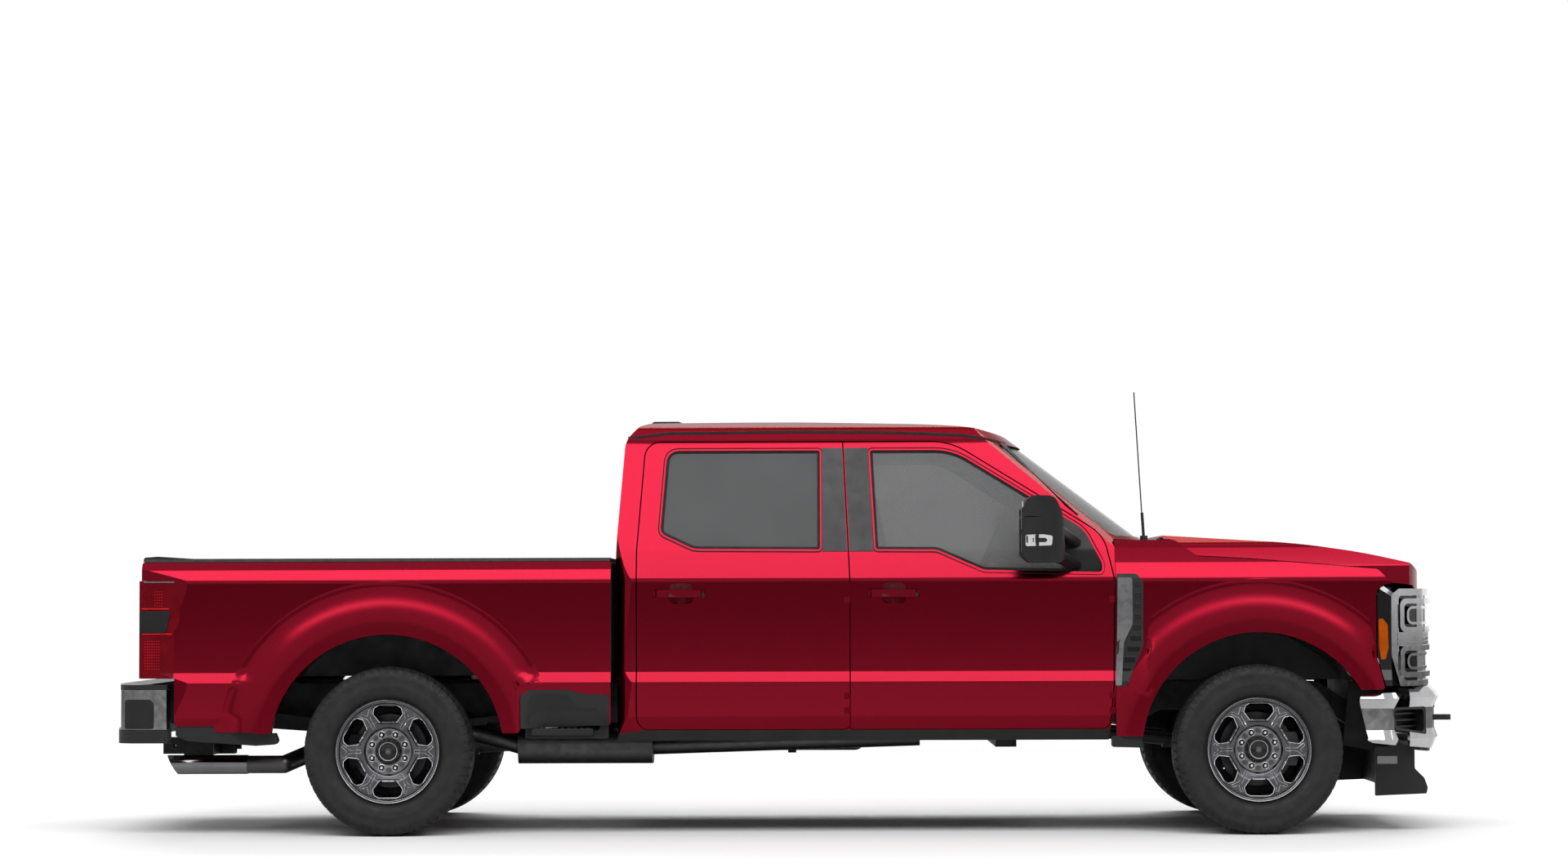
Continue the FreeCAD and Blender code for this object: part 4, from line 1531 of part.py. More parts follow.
def make_cowl():
    """Moulded cowl under the windshield with the wiper arms."""
    rear = FIREWALL_X + SEAT
    side = [(rear, 1300), (HOOD_REAR_X - 8, 1290), (HOOD_REAR_X - 8, HOOD_REAR_Z - 34),
            (WINDSHIELD_BASE_X - 22, WINDSHIELD_BASE_Z - 44), (rear, FENDER_TOP_REAR_Z - 10)]
    tray = plate_y(side, -FENDER_INNER_Y + 10, FENDER_INNER_Y - 10)
    keep("cowl", join(tray.cut([cab_solid()]), *hood_knuckles(True)))


def make_antennas():
    x = 3539.0
    mast = rod((x, -ANTENNA_Y, FENDER_TOP_REAR_Z - 2), (x - 8, -ANTENNA_Y, 1500), 7)
    whip = rod((x - 8, -ANTENNA_Y, 1480), (x - 42, -ANTENNA_Y, ANTENNA_TOP_Z), 3)
    foot = rod((x, -ANTENNA_Y, FENDER_TOP_REAR_Z + SEAT), (x, -ANTENNA_Y, FENDER_TOP_REAR_Z + 20), 18)
    mast = mast.common(block(3000, 4000, -2000, 0, FENDER_TOP_REAR_Z + SEAT, 3000))
    keep("antennas", join(mast, whip, foot))
    fin_x = CAB_ROOF_REAR_X + 60
    fin = plate_y([(fin_x, ROOF_Z - 20), (fin_x + 240, ROOF_Z - 20), (fin_x + 150, ROOF_Z + 20, 40),
                   (fin_x + 20, ROOF_Z + 20, 20)], -32, 32)
    keep("antennas", fin.cut(cab_solid()))


def make_vents():
    """Louvred vent and blank strip on each front fender."""
    side = [(6, 1214, 6), (98, 1214, 20), (129, 1177, 30), (129, 880, 60), (50, 690, 14), (6, 690, 6)]
    plate = plate_y([(FIREWALL_X + a, b, r) for a, b, r in side], SIDE_Y - 20, SIDE_Y + 6)
    skin = plate_x(both_sides(skin_half(-6)[1:6] + [(SIDE_Y - 20, 1290)]), FIREWALL_X, FIREWALL_X + 300)
    vent = plate.common(skin).cut([fender_volume(-SEAT - 0.2), flare(FRONT_AXLE)])
    keep("side_trim", *both(max(vent.Solids, key=lambda s: s.Volume)))


def make_trim():
    """Black lower mouldings behind the rear wheels, and below the front ends of the rockers."""
    y = SIDE_Y - 30
    foot = ARCH_RADIUS + 67
    top = BED_BOTTOM_Z - SEAT
    flap = plate_y([(BED_TAIL_CUT_X + 4, top, 6), (-foot - 20, top), (-foot, ARCH_FOOT_Z - SEAT),
                    (-ARCH_RADIUS + 20, ARCH_FOOT_Z - SEAT), (-ARCH_RADIUS + 40, 430, 20),
                    (-ARCH_RADIUS - 70, 423, 20), (BED_TAIL_CUT_X + 60, 446, 60),
                    (BED_TAIL_CUT_X + 4, 470, 10)], y - 60, y)
    keep("side_trim", *both(flap))
    top = FENDER_FOOT_Z - SEAT
    tab = plate_y([(fender_foot_x(10), top), (FIREWALL_X + 116, top), (FIREWALL_X + 126, top - 54, 12),
                   (fender_foot_x(10), top - 50, 10)], y - 30, y + 36)
    keep("side_trim", *both(tab))


def make_radius_arms():
    low = RAIL_BOTTOM_Z
    x = FRONT_AXLE - 800
    y = FRAME_RAIL_Y
    arm = rod((FRONT_AXLE - 40, y + 10, TYRE_RADIUS), (x, y, low - 50), 22)
    eye = across(x, low - 50, 34, y - 26, y + 26)
    ear = block(x - 34, x + 34, y - 26, y + 26, low - 50, low - SEAT)
    seat_cut = across(FRONT_AXLE, TYRE_RADIUS, AXLE_TUBE_RADIUS + SEAT, 0, 700)
    keep("front_springs", *both(join(arm, eye, ear).cut(seat_cut)))


def build():
    for step in (make_cab, make_cab_glass, make_doors, make_hood, make_fenders, make_liners, make_grille,
                 make_headlamps, make_bed, make_tailgate, make_caps, make_tail_lamps, make_stop_lamp,
                 make_rear_bumper, make_bed_steps, make_frame, make_engine, make_drivetrain, make_axles,
                 make_springs, make_exhaust, make_tank, make_wheels, make_knuckles, make_steering_wheel,
                 make_dashboard, make_seats, make_mirrors, make_front_bumper, make_air_dam, make_cowl,
                 make_antennas, make_vents, make_trim, make_radius_arms):
        step()
    os.makedirs("parts", exist_ok=True)
    for node, solids in PIECES.items():
        shape = solids[0] if len(solids) == 1 else Part.Compound(solids)
        shape.translated(V(-ORIGIN_X, 0, 0)).exportStep("parts/" + node + ".step")


if __name__ == "__main__":
    build()
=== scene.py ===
"""Dressed model of a crew-cab pickup truck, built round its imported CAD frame."""

import json
import math

import bmesh
import bpy
from mathutils import Matrix, Vector
from mathutils.bvhtree import BVHTree


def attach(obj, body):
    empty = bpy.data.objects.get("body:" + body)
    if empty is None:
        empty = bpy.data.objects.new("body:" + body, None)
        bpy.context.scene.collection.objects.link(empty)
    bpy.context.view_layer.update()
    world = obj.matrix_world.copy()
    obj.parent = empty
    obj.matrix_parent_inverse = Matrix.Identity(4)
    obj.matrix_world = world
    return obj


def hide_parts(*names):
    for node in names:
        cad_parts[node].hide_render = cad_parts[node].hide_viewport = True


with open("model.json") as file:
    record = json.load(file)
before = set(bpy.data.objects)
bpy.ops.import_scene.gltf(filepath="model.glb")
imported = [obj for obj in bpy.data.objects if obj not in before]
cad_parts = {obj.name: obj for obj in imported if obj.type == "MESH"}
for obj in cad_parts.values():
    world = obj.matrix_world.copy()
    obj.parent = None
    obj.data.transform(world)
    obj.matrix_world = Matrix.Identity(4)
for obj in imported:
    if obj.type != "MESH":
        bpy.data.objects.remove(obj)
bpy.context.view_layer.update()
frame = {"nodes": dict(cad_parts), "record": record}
NODES = frame["nodes"]
TAU = 2 * math.pi

# The CAD model's stations in metres, forward of the rear axle, and where that axle lies in the frame
ORIGIN_X = 1.8615
FRONT_AXLE = 4.059
TYRE_RADIUS = 0.394
FRONT_TRACK = 1.735
REAR_TRACK = 1.707
SIDE_Y = 0.99
GLASS_TOP_Z = 1.842
BELT_Z = 1.325
SHOULDER_Z = 1.19
B_PILLAR_X = 2.146
REAR_DOOR_REAR_X = 1.18
FIREWALL_X = 3.394
GRILLE_FRONT_X = 4.985
NOSE_SWEEP_R = 2.6
SIDES = (("left", 1), ("right", -1))
WHEELS = [("%s_%s" % (end, side), sign, x, track / 2)
          for end, x, track in (("front", FRONT_AXLE, FRONT_TRACK), ("rear", 0.0, REAR_TRACK))
          for side, sign in SIDES]

# The photograph's camera: lens and frame in pixels, place in metres, angles in degrees
PHOTO_FOCAL, PHOTO_WIDTH, SENSOR_WIDTH = 4456.0, 1920, 36
CAMERA_PLACE = (0.1265, -17.96, 1.108)
CAMERA_PAN, CAMERA_TILT, CAMERA_ROLL = 0.455, 2.57, -0.172

# The floor keeps its shadow inside the first radius and is plain white beyond the second
FLOOR_SIZE, FLOOR_FADE_FROM, FLOOR_FADE_TO = 90.0, 4.2, 9.5
WORLD_FILL = 0.12
WHITE = (1, 1, 1, 1)


def fx(x):
    """Frame x of a station measured from the rear axle."""
    return x - ORIGIN_X


# Camera, lights and floor

def link_object(name, data):
    obj = bpy.data.objects.new(name, data)
    bpy.context.scene.collection.objects.link(obj)
    return obj


def make_camera():
    data = bpy.data.cameras.new("photo_camera")
    data.lens = PHOTO_FOCAL / PHOTO_WIDTH * SENSOR_WIDTH
    data.sensor_width = SENSOR_WIDTH
    data.clip_end = 200
    camera = link_object("photo_camera", data)
    pan, tilt = math.radians(CAMERA_PAN), math.radians(CAMERA_TILT)
    look = Vector((-math.sin(pan), math.cos(pan), math.tan(tilt))).normalized()
    turn = look.to_track_quat("-Z", "Y").to_matrix().to_4x4()
    roll = Matrix.Rotation(math.radians(CAMERA_ROLL), 4, "Z")
    camera.matrix_world = Matrix.Translation(CAMERA_PLACE) @ turn @ roll
    bpy.context.scene.camera = camera
    bpy.context.scene.view_settings.view_transform = "Standard"


def area_light(name, place, target, size, power):
    data = bpy.data.lights.new(name, "AREA")
    data.shape = "RECTANGLE"
    data.size, data.size_y = size
    data.energy = power
    light = link_object(name, data)
    light.location = place
    light.rotation_euler = (Vector(target) - Vector(place)).to_track_quat("-Z", "Y").to_euler()
    light.visible_camera = False


def set_inputs(node, values):
    """Sets a node's inputs by name, with an underscore for a space."""
    for key, value in values.items():
        node.inputs[key.replace("_", " ")].default_value = value


def new_node(nodes, kind, **values):
    node = nodes.new("ShaderNode" + kind)
    set_inputs(node, values)
    return node


def math_node(nodes, links, operation, first, second):
    """Output of a math node fed by two outputs."""
    node = new_node(nodes, "Math")
    node.operation = operation
    links.new(first, node.inputs[0])
    links.new(second, node.inputs[1])
    return node.outputs[0]


def seen_directly(nodes, links):
    """The light path's outputs, and one that is 1 for the camera's own rays, also through glass."""
    path = new_node(nodes, "LightPath").outputs
    return path, math_node(nodes, links, "MAXIMUM", path["Is Camera Ray"], path["Is Transmission Ray"])


def make_world():
    """White behind the truck and in its reflections, a faint fill on everything else."""
    world = bpy.data.worlds.new("studio")
    bpy.context.scene.world = world
    world.use_nodes = True
    nodes, links = world.node_tree.nodes, world.node_tree.links
    nodes.clear()
    out = new_node(nodes, "OutputWorld")
    mix = new_node(nodes, "MixShader")
    for socket, strength in ((1, WORLD_FILL), (2, 1.0)):
        shader = new_node(nodes, "Background", Color=WHITE, Strength=strength)
        links.new(shader.outputs[0], mix.inputs[socket])
    path, seen = seen_directly(nodes, links)
    shown = math_node(nodes, links, "MAXIMUM", seen, path["Is Glossy Ray"])
    links.new(shown, mix.inputs[0])
    links.new(mix.outputs[0], out.inputs[0])


def make_floor():
    mesh = bpy.data.meshes.new("studio_floor")
    size = FLOOR_SIZE
    mesh.from_pydata(oblong(-size, size, -size, size, 0), [], [(0, 1, 2, 3)])
    floor = link_object("studio_floor", mesh)
    mat = bpy.data.materials.new("pale_floor")
    mat.use_nodes = True
    nodes, links = mat.node_tree.nodes, mat.node_tree.links
    shader = nodes["Principled BSDF"]
    set_inputs(shader, {"Base_Color": (0.92, 0.92, 0.92, 1), "Roughness": 0.75, "Specular_IOR_Level": 0.1})
    place = new_node(nodes, "NewGeometry")
    length = new_node(nodes, "VectorMath")
    length.operation = "LENGTH"
    fade = new_node(nodes, "MapRange", From_Min=FLOOR_FADE_FROM, From_Max=FLOOR_FADE_TO)
    fade.interpolation_type = "SMOOTHSTEP"
    white = new_node(nodes, "Emission")
    mix = new_node(nodes, "MixShader")
    links.new(place.outputs["Position"], length.inputs[0])
    links.new(length.outputs["Value"], fade.inputs["Value"])
    seen = seen_directly(nodes, links)[1]
    links.new(math_node(nodes, links, "MULTIPLY", fade.outputs["Result"], seen), mix.inputs[0])
    links.new(shader.outputs[0], mix.inputs[1])
    links.new(white.outputs[0], mix.inputs[2])
    links.new(mix.outputs[0], nodes["Material Output"].inputs[0])
    mesh.materials.append(mat)


def make_lights():
    for sign in (-1, 1):
        area_light("side_panel", (0, sign * 6.7, 6.8), (0, sign * 1.0, 1.1), (15, 4.4), 980)
        area_light("end_panel", (sign * 10.0, 0, 5.0), (0, 0, 1.0), (5, 2), 120)
    area_light("top_panel", (0, 0, 8.0), (0, 0, 0), (9, 3), 60)


# Materials: each one is a principled shader fed by object-space noise

class Look:
    """Builds a procedural material step by step."""

    def __init__(self, name, metal=0.0, **sockets):
        self.mat = bpy.data.materials.new(name)
        self.mat.use_nodes = True
        self.nodes, self.links = self.mat.node_tree.nodes, self.mat.node_tree.links
        self.shader = self.nodes["Principled BSDF"]
        set_inputs(self.shader, dict(sockets, Metallic=metal))
        self.place = new_node(self.nodes, "TexCoord").outputs["Object"]
        self.normal = None

    def placed(self, kind, source=None, **values):
        """Outputs of a node that is fed the object's coordinates or another source."""
        node = new_node(self.nodes, kind, **values)
        self.links.new(source or self.place, node.inputs["Vector"])
        return node.outputs

    def noise(self, scale, detail=3.0, stretch=None):
        source = self.placed("Mapping", Scale=stretch)[0] if stretch else None
        return self.placed("TexNoise", source, Scale=scale, Detail=detail)["Fac"]

    def spread(self, value, low, high):
        """Maps the middle of a noise's range onto low to high."""
        node = new_node(self.nodes, "MapRange", From_Min=0.3, From_Max=0.7, To_Min=low, To_Max=high)
        self.links.new(value, node.inputs["Value"])
        return node.outputs["Result"]

    def colour(self, value, first, second):
        ramp = new_node(self.nodes, "ValToRGB")
        for stop, position, tone in zip(ramp.color_ramp.elements, (0.32, 0.68), (first, second)):
            stop.position = position
            stop.color = tuple(tone) + (1,)
        self.links.new(value, ramp.inputs["Fac"])
        self.links.new(ramp.outputs["Color"], self.shader.inputs["Base Color"])
        return self

    def shades(self, value, tone, dark, light):
        return self.colour(value, [c * dark for c in tone], [c * light for c in tone])

    def roughness(self, value, low, high):
        self.links.new(self.spread(value, low, high), self.shader.inputs["Roughness"])
        return self

    def bump(self, value, strength, distance):
        node = new_node(self.nodes, "Bump", Strength=strength, Distance=distance)
        self.links.new(value, node.inputs["Height"])
        if self.normal is not None:
            self.links.new(self.normal, node.inputs["Normal"])
        self.normal = node.outputs["Normal"]
        self.links.new(self.normal, self.shader.inputs["Normal"])
        return self


def paint_look():
    look = Look("metallic_red_paint", metal=1.0, Coat_Weight=0.15, Coat_Roughness=0.05, Coat_IOR=1.25,
                Specular_Tint=(0.35, 0.03, 0.06, 1))
    flake = look.noise(900, 1.0)
    look.colour(flake, (0.15, 0.003, 0.011), (0.195, 0.0045, 0.015))
    look.roughness(look.noise(420, 1.0), 0.16, 0.2)
    return look.bump(look.noise(5, 2.0), 0.05, 0.001).mat


def mottled(name, tone, stain, wear, **sockets):
    """Look with a stain (scale, detail, darkest, lightest) and a wear (scale, detail, lowest, highest)."""
    look = Look(name, **sockets)
    look.shades(look.noise(*stain[:2]), tone, *stain[2:])
    return look.roughness(look.noise(*wear[:2]), *wear[2:])


def grained_plastic(name, tone, rough=0.5, grain=650):
    look = mottled(name, tone, (7, 4.0, 0.82, 1.18), (18, 3.0, rough - 0.07, rough + 0.08),
                   Specular_IOR_Level=0.22)
    return look.bump(look.noise(grain, 2.0), 0.25, 0.0004).mat


def gloss_look(name, tone, rough=0.08):
    return mottled(name, tone, (6, 2.0, 0.9, 1.1), (30, 2.0, rough * 0.7, rough * 1.4),
                   Coat_Weight=0.1, Coat_Roughness=0.03, Specular_IOR_Level=0.2).mat


def metal_look(name, tone, rough, scratch=0.0):
    look = mottled(name, tone, (9, 4.0, 0.9, 1.06), (30, 4.0, rough * 0.7, rough * 1.35), metal=1.0)
    if scratch:
        look.bump(look.noise(160, 3.0, (1, 1, 14)), scratch, 0.0006)
    return look.mat


def cast_look(name, tone, metal=0.6):
    look = mottled(name, tone, (14, 5.0, 0.6, 1.3), (22, 4.0, 0.45, 0.75), metal=metal,
                   Specular_IOR_Level=0.2)
    return look.bump(look.noise(190, 4.0), 0.35, 0.0012).mat


def glass_look(name, tone, alpha):
    return mottled(name, tone, (2.5, 2.0, 0.94, 1.06), (12, 2.0, 0.12, 0.18), Alpha=alpha, IOR=1.3,
                   Specular_IOR_Level=0.08).mat


def lens_look(name, tone, cell):
    look = mottled(name, tone, (11, 2.0, 0.8, 1.15), (40, 2.0, 0.06, 0.16), IOR=1.3,
                   Specular_IOR_Level=0.12)
    return look.bump(look.placed("TexVoronoi", Scale=cell)["Distance"], 0.5, 0.002).mat


def cloth_look(name, tone):
    look = mottled(name, tone, (260, 2.0, 0.7, 1.35), (60, 2.0, 0.82, 0.95), Sheen_Weight=0.3,
                   Sheen_Roughness=0.5)
    look.bump(look.placed("TexWave", Scale=120, Distortion=1.2)["Fac"], 0.25, 0.0008)
    return look.bump(look.noise(900, 2.0), 0.4, 0.0006).mat


def rubber_look(name, tone):
    look = mottled(name, tone, (16, 5.0, 0.8, 1.4), (30, 4.0, 0.5, 0.72), Specular_IOR_Level=0.2)
    return look.bump(look.noise(420, 3.0), 0.2, 0.0004).mat


PAINT = paint_look()
BLACK = grained_plastic("moulded_black", (0.011, 0.011, 0.0115))
SATIN = grained_plastic("satin_black", (0.008, 0.008, 0.0085), 0.4, 300)
GREY_TRIM = grained_plastic("pillar_trim", (0.03, 0.03, 0.032), 0.42, 300)
GLOSS_BLACK = gloss_look("gloss_black", (0.008, 0.008, 0.009))
RUBBER = rubber_look("tyre_rubber", (0.013, 0.013, 0.0135))
SEAL = rubber_look("seal_rubber", (0.008, 0.008, 0.008))
CHROME = metal_look("chrome", (0.42, 0.42, 0.43), 0.1)
BRIGHT_CHROME = metal_look("bright_chrome", (0.62, 0.62, 0.64), 0.07)
DARK_CHROME = metal_look("dark_chrome", (0.085, 0.085, 0.092), 0.2)
PLATE_WHITE = grained_plastic("plate_white", (0.55, 0.55, 0.54))
SATIN_SILVER = metal_look("satin_silver", (0.16, 0.16, 0.165), 0.3)
# a darker metal for the rims' barrels and spokes' backs: painted shade
WHEEL_BACK_SHADE = metal_look("wheel_pocket_paint", (0.03, 0.03, 0.033), 0.35)
# a darker copy of the body paint, for painted shade
PAINT_SHADE = gloss_look("paint_in_shade", (0.06, 0.0012, 0.004), 0.25)
STEEL = metal_look("dull_steel", (0.075, 0.073, 0.072), 0.42, 0.3)
EXHAUST_STEEL = metal_look("polished_exhaust", (0.16, 0.16, 0.165), 0.12)
BRIGHT_STEEL = metal_look("bright_steel", (0.62, 0.62, 0.63), 0.14)
CHASSIS = cast_look("chassis_black", (0.014, 0.014, 0.015), 0.1)
CAST = cast_look("cast_metal", (0.1, 0.1, 0.1))
SIDE_GLASS = glass_look("side_glass", (0.16, 0.162, 0.165), 0.62)
PRIVACY_GLASS = glass_look("privacy_glass", (0.085, 0.087, 0.088), 0.93)
SCREEN_GLASS = glass_look("windshield_glass", (0.06, 0.062, 0.063), 0.55)
MIRROR_GLASS = metal_look("mirror_glass", (0.7, 0.71, 0.73), 0.03)
RED_LENS = lens_look("red_lens", (0.12, 0.0015, 0.006), 95)
LIT_RED = lens_look("inner_red_lens", (0.55, 0.012, 0.014), 160)
AMBER = lens_look("amber_lens", (0.34, 0.055, 0.001), 110)
INTERIOR = grained_plastic("interior_plastic", (0.03, 0.03, 0.032), 0.6)
CLOTH = cloth_look("seat_cloth", (0.045, 0.045, 0.048))
LINER = cast_look("bed_liner_coat", (0.02, 0.02, 0.021), 0.0)

SLOT_LOOKS = {
    "body_paint": PAINT, "black_plastic": BLACK, "chrome": CHROME, "chassis": CHASSIS,
    "cast_metal": CAST, "glass": SIDE_GLASS, "lamp_clear": GLOSS_BLACK, "lamp_red": RED_LENS,
    "wheel_alloy": DARK_CHROME, "tyre": RUBBER, "bright_steel": BRIGHT_STEEL, "steel": STEEL,
    "seat_cloth": CLOTH, "interior": INTERIOR,
}
NODE_LOOKS = {
    "glass_rear_left": PRIVACY_GLASS, "glass_rear_right": PRIVACY_GLASS, "cab_glass": SCREEN_GLASS,
    "mirror_left": SATIN, "mirror_right": SATIN, "radiator": CAST, "front_liners": SATIN,
    "exhaust_tip": EXHAUST_STEEL, "grille": CHROME, "bumper_ducts": SATIN,
}


def set_look(obj, mat):
    obj.data.materials.clear()
    obj.data.materials.append(mat)


def dress_nodes():
    slots = {row["node"]: row["material_slot"] for row in frame["record"]["subparts"]}
    for name, obj in NODES.items():
        set_look(obj, NODE_LOOKS.get(name, SLOT_LOOKS[slots[name]]))


# Mesh helpers

def new_mesh(name, verts, faces, mat, smooth=True, sharp=38, merge=True):
    """Mesh whose normals look outward, smooth but for edges sharper than an angle in degrees."""
    mesh = bpy.data.meshes.new(name)
    mesh.from_pydata([tuple(v) for v in verts], [], faces)
    work = bmesh.new()
    work.from_mesh(mesh)
    if merge:
        bmesh.ops.remove_doubles(work, verts=work.verts, dist=1e-6)
    bmesh.ops.recalc_face_normals(work, faces=work.faces)
    work.to_mesh(mesh)
    work.free()
    mesh.materials.append(mat)
    for face in mesh.polygons:
        face.use_smooth = smooth
    if smooth:
        mesh.set_sharp_from_angle(angle=math.radians(sharp))
    return mesh


def add(name, verts, faces, mat, body="body", slot="black_plastic", smooth=True, bevel=0.0):
    """A new piece of the object from plain vertices and faces, riding on a CAD body."""
    obj = link_object(name, new_mesh(name, verts, faces, mat, smooth))
    if bevel:
        edge = obj.modifiers.new("edge", "BEVEL")
        edge.width = bevel
        edge.segments = 2
        edge.limit_method = "ANGLE"
        edge.angle_limit = math.radians(35)
    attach(obj, body)
    return obj


def circle(radius, count):
    return [(radius * math.cos(TAU * k / count), radius * math.sin(TAU * k / count)) for k in range(count)]


def oblong(left, right, low, high, *more):
    """Corners of an upright rectangle, each with the further numbers given."""
    return [(a, b) + more for a, b in ((left, low), (right, low), (right, high), (left, high))]


def ring_faces(rows, m, closed=True):
    """Quads between neighbouring rows, each a loop of m points."""
    faces = []
    for i in range(rows if closed else rows - 1):
        j = (i + 1) % rows
        faces += [(i * m + k, i * m + (k + 1) % m, j * m + (k + 1) % m, j * m + k) for k in range(m)]
    return faces


class Build:
    """Gathers simple closed shapes that become one piece."""

    def __init__(self):
        self.verts, self.faces = [], []

    def shape(self, verts, faces):
        start = len(self.verts)
        self.verts += [Vector(v) for v in verts]
        self.faces += [tuple(i + start for i in f) for f in faces]
        return self

    def box(self, low, high):
        pts = [(x, y, z) for x in (low[0], high[0]) for y in (low[1], high[1]) for z in (low[2], high[2])]
        return self.shape(pts, [(0, 1, 3, 2), (4, 6, 7, 5), (0, 4, 5, 1), (2, 3, 7, 6), (0, 2, 6, 4),
                                (1, 5, 7, 3)])

    def prism(self, outline, place, depth):
        """Outline of (a, b) points placed by place(a, b) and pulled by the vector depth."""
        low = [Vector(place(*p)) for p in outline]
        high = [p + Vector(depth) for p in low]
        n = len(low)
        sides = [(i, (i + 1) % n, n + (i + 1) % n, n + i) for i in range(n)]
        return self.shape(low + high, [tuple(range(n)), tuple(range(2 * n - 1, n - 1, -1))] + sides)

    def sweep(self, path, section, closed=False, up=(0, 0, 1)):
        """Closed section of (side, up) points carried along a path."""
        path = [Vector(p) for p in path]
        count, m = len(path), len(section)
        verts = []
        for i, p in enumerate(path):
            before = path[i - 1] if closed or i else p
            after = path[(i + 1) % count] if closed or i < count - 1 else p
            along = (after - before).normalized()
            side = along.cross(Vector(up)).normalized()
            over = side.cross(along)
            verts += [p + side * a + over * b for a, b in section]
        faces = ring_faces(count, m, closed)
        if not closed:
            faces += [tuple(range(m)), tuple(range(count * m - 1, (count - 1) * m - 1, -1))]
        return self.shape(verts, faces)

    def tube(self, path, radius, sides=12, closed=False, up=(0, 0, 1)):
        return self.sweep(path, circle(radius, sides), closed, up)

    def turned(self, profile, centre, axis, steps=48):
        """Profile of (radius, distance along the axis) turned into a closed ring or solid."""
        axis = Vector(axis).normalized()
        side = axis.orthogonal().normalized()
        other = axis.cross(side)
        verts = []
        for i in range(steps):
            a = TAU * i / steps
            out = side * math.cos(a) + other * math.sin(a)
            verts += [Vector(centre) + out * r + axis * d for r, d in profile]
        return self.shape(verts, ring_faces(steps, len(profile)))

    def make(self, name, mat, *seat, **finish):
        return add(name, self.verts, self.faces, mat, *seat, **finish)


def rounded(points, steps=5):
    """Outline whose corners with a third number are rounded by that radius."""
    out = []
    count = len(points)
    for i, p in enumerate(points):
        here = Vector(p[:2])
        if len(p) < 3 or p[2] <= 0:
            out.append(tuple(here))
            continue
        before = Vector(points[i - 1][:2]) - here
        after = Vector(points[(i + 1) % count][:2]) - here
        reach = p[2] / math.tan(before.angle(after) / 2)
        reach = min(reach, 0.48 * before.length, 0.48 * after.length)
        a = here + before.normalized() * reach
        b = here + after.normalized() * reach
        for k in range(steps + 1):
            t = k / steps
            q = a * (1 - t) ** 2 + here * 2 * t * (1 - t) + b * t ** 2
            out.append((q.x, q.y))
    return out


def divided(points, longest):
    """The closed outline with its long edges cut into shorter ones."""
    out = []
    for i, p in enumerate(points):
        q = points[(i + 1) % len(points)]
        length = math.dist(p, q)
        cuts = max(1, math.ceil(length / longest))
        out += [(p[0] + (q[0] - p[0]) * k / cuts, p[1] + (q[1] - p[1]) * k / cuts) for k in range(cuts)]
    return out


def offset(points, amount):
    """The closed outline moved outward by amount."""
    area = sum(p[0] * q[1] - q[0] * p[1] for p, q in zip(points, points[1:] + points[:1]))
    turn = 1 if area > 0 else -1
    out = []
    n = len(points)
    for i, p in enumerate(points):
        a = Vector(points[i - 1])
        b = Vector(points[(i + 1) % n])
        along = (b - a).normalized()
        out.append((p[0] + along.y * amount * turn, p[1] - along.x * amount * turn))
    return out


def in_frame(outline):
    return [(fx(p[0]),) + tuple(p[1:]) for p in outline]


def shaped(points, steps, longest):
    """Outline of stations, rounded and divided, in the frame."""
    return divided(rounded(in_frame(points), steps), longest)


TREES = {}


def tree(*names):
    """Search tree over CAD nodes, to lay trim on their surface."""
    if names not in TREES:
        verts, polys = [], []
        for name in names:
            mesh = NODES[name].data
            start = len(verts)
            verts += [v.co.copy() for v in mesh.vertices]
            polys += [tuple(i + start for i in p.vertices) for p in mesh.polygons]
        TREES[names] = BVHTree.FromPolygons(verts, polys)
    return TREES[names]


def cast(names, start, way):
    """Where a ray first meets the CAD nodes, or None."""
    return tree(*names).ray_cast(Vector(start), Vector(way))[0]


def side_point(names, x, z, sign, lift=0.0):
    """Point on the outside of the body at frame x and height z, lifted off by lift."""
    hit = cast(names, (x, 3.0 * sign, z), (0, -sign, 0))
    if hit is None:
        hit = tree(*names).find_nearest(Vector((x, 1.0 * sign, z)))[0]
    return Vector((x, hit.y + sign * lift, z))


def band(name, outline, inner, outer, proud, names, sign, mat, body="body", slot="black_plastic",
         sunk=0.004):
    """Flat moulding between two offsets of an outline, laid on the body's side."""
    verts = []
    for amount, lift in ((inner, -sunk), (inner, proud), (outer, proud), (outer, -sunk)):
        verts += [side_point(names, x, z, sign, lift) for x, z in offset(outline, amount)]
    return add(name, verts, ring_faces(4, len(outline)), mat, body, slot)


def patch(name, outline, proud, names, sign, mat, body="body", slot="black_plastic", sunk=0.004,
          cell=0.05):
    """Filled plate laid on the body's side inside an outline."""
    work = bmesh.new()
    work.faces.new([work.verts.new((x, 0, z)) for x, z in outline])
    for axis, across in ((0, [p[0] for p in outline]), (2, [p[1] for p in outline])):
        low, high = min(across), max(across)
        cuts = max(1, int((high - low) / cell))
        for k in range(1, cuts):
            at, way = [0, 0, 0], [0, 0, 0]
            at[axis] = low + (high - low) * k / cuts
            way[axis] = 1
            bmesh.ops.bisect_plane(work, geom=work.verts[:] + work.edges[:] + work.faces[:],
                                   plane_co=at, plane_no=way)
    work.verts.index_update()
    faces = [[v.index for v in f.verts] for f in work.faces]
    edges = [[v.index for v in e.verts] for e in work.edges if e.is_boundary]
    flat = [(v.co.x, v.co.z) for v in work.verts]
    work.free()
    n = len(flat)
    verts = [side_point(names, x, z, sign, lift) for lift in (proud, -sunk) for x, z in flat]
    polys = [tuple(f) for f in faces] + [tuple(i + n for i in reversed(f)) for f in faces]
    polys += [(a, b, b + n, a + n) for a, b in edges]
    return add(name, verts, polys, mat, body, slot)


# Tyres with a block tread

TREAD_STEPS = 720
TREAD_PITCH = 60
CROWN_STEPS = 40
CROWN_HALF = 0.113


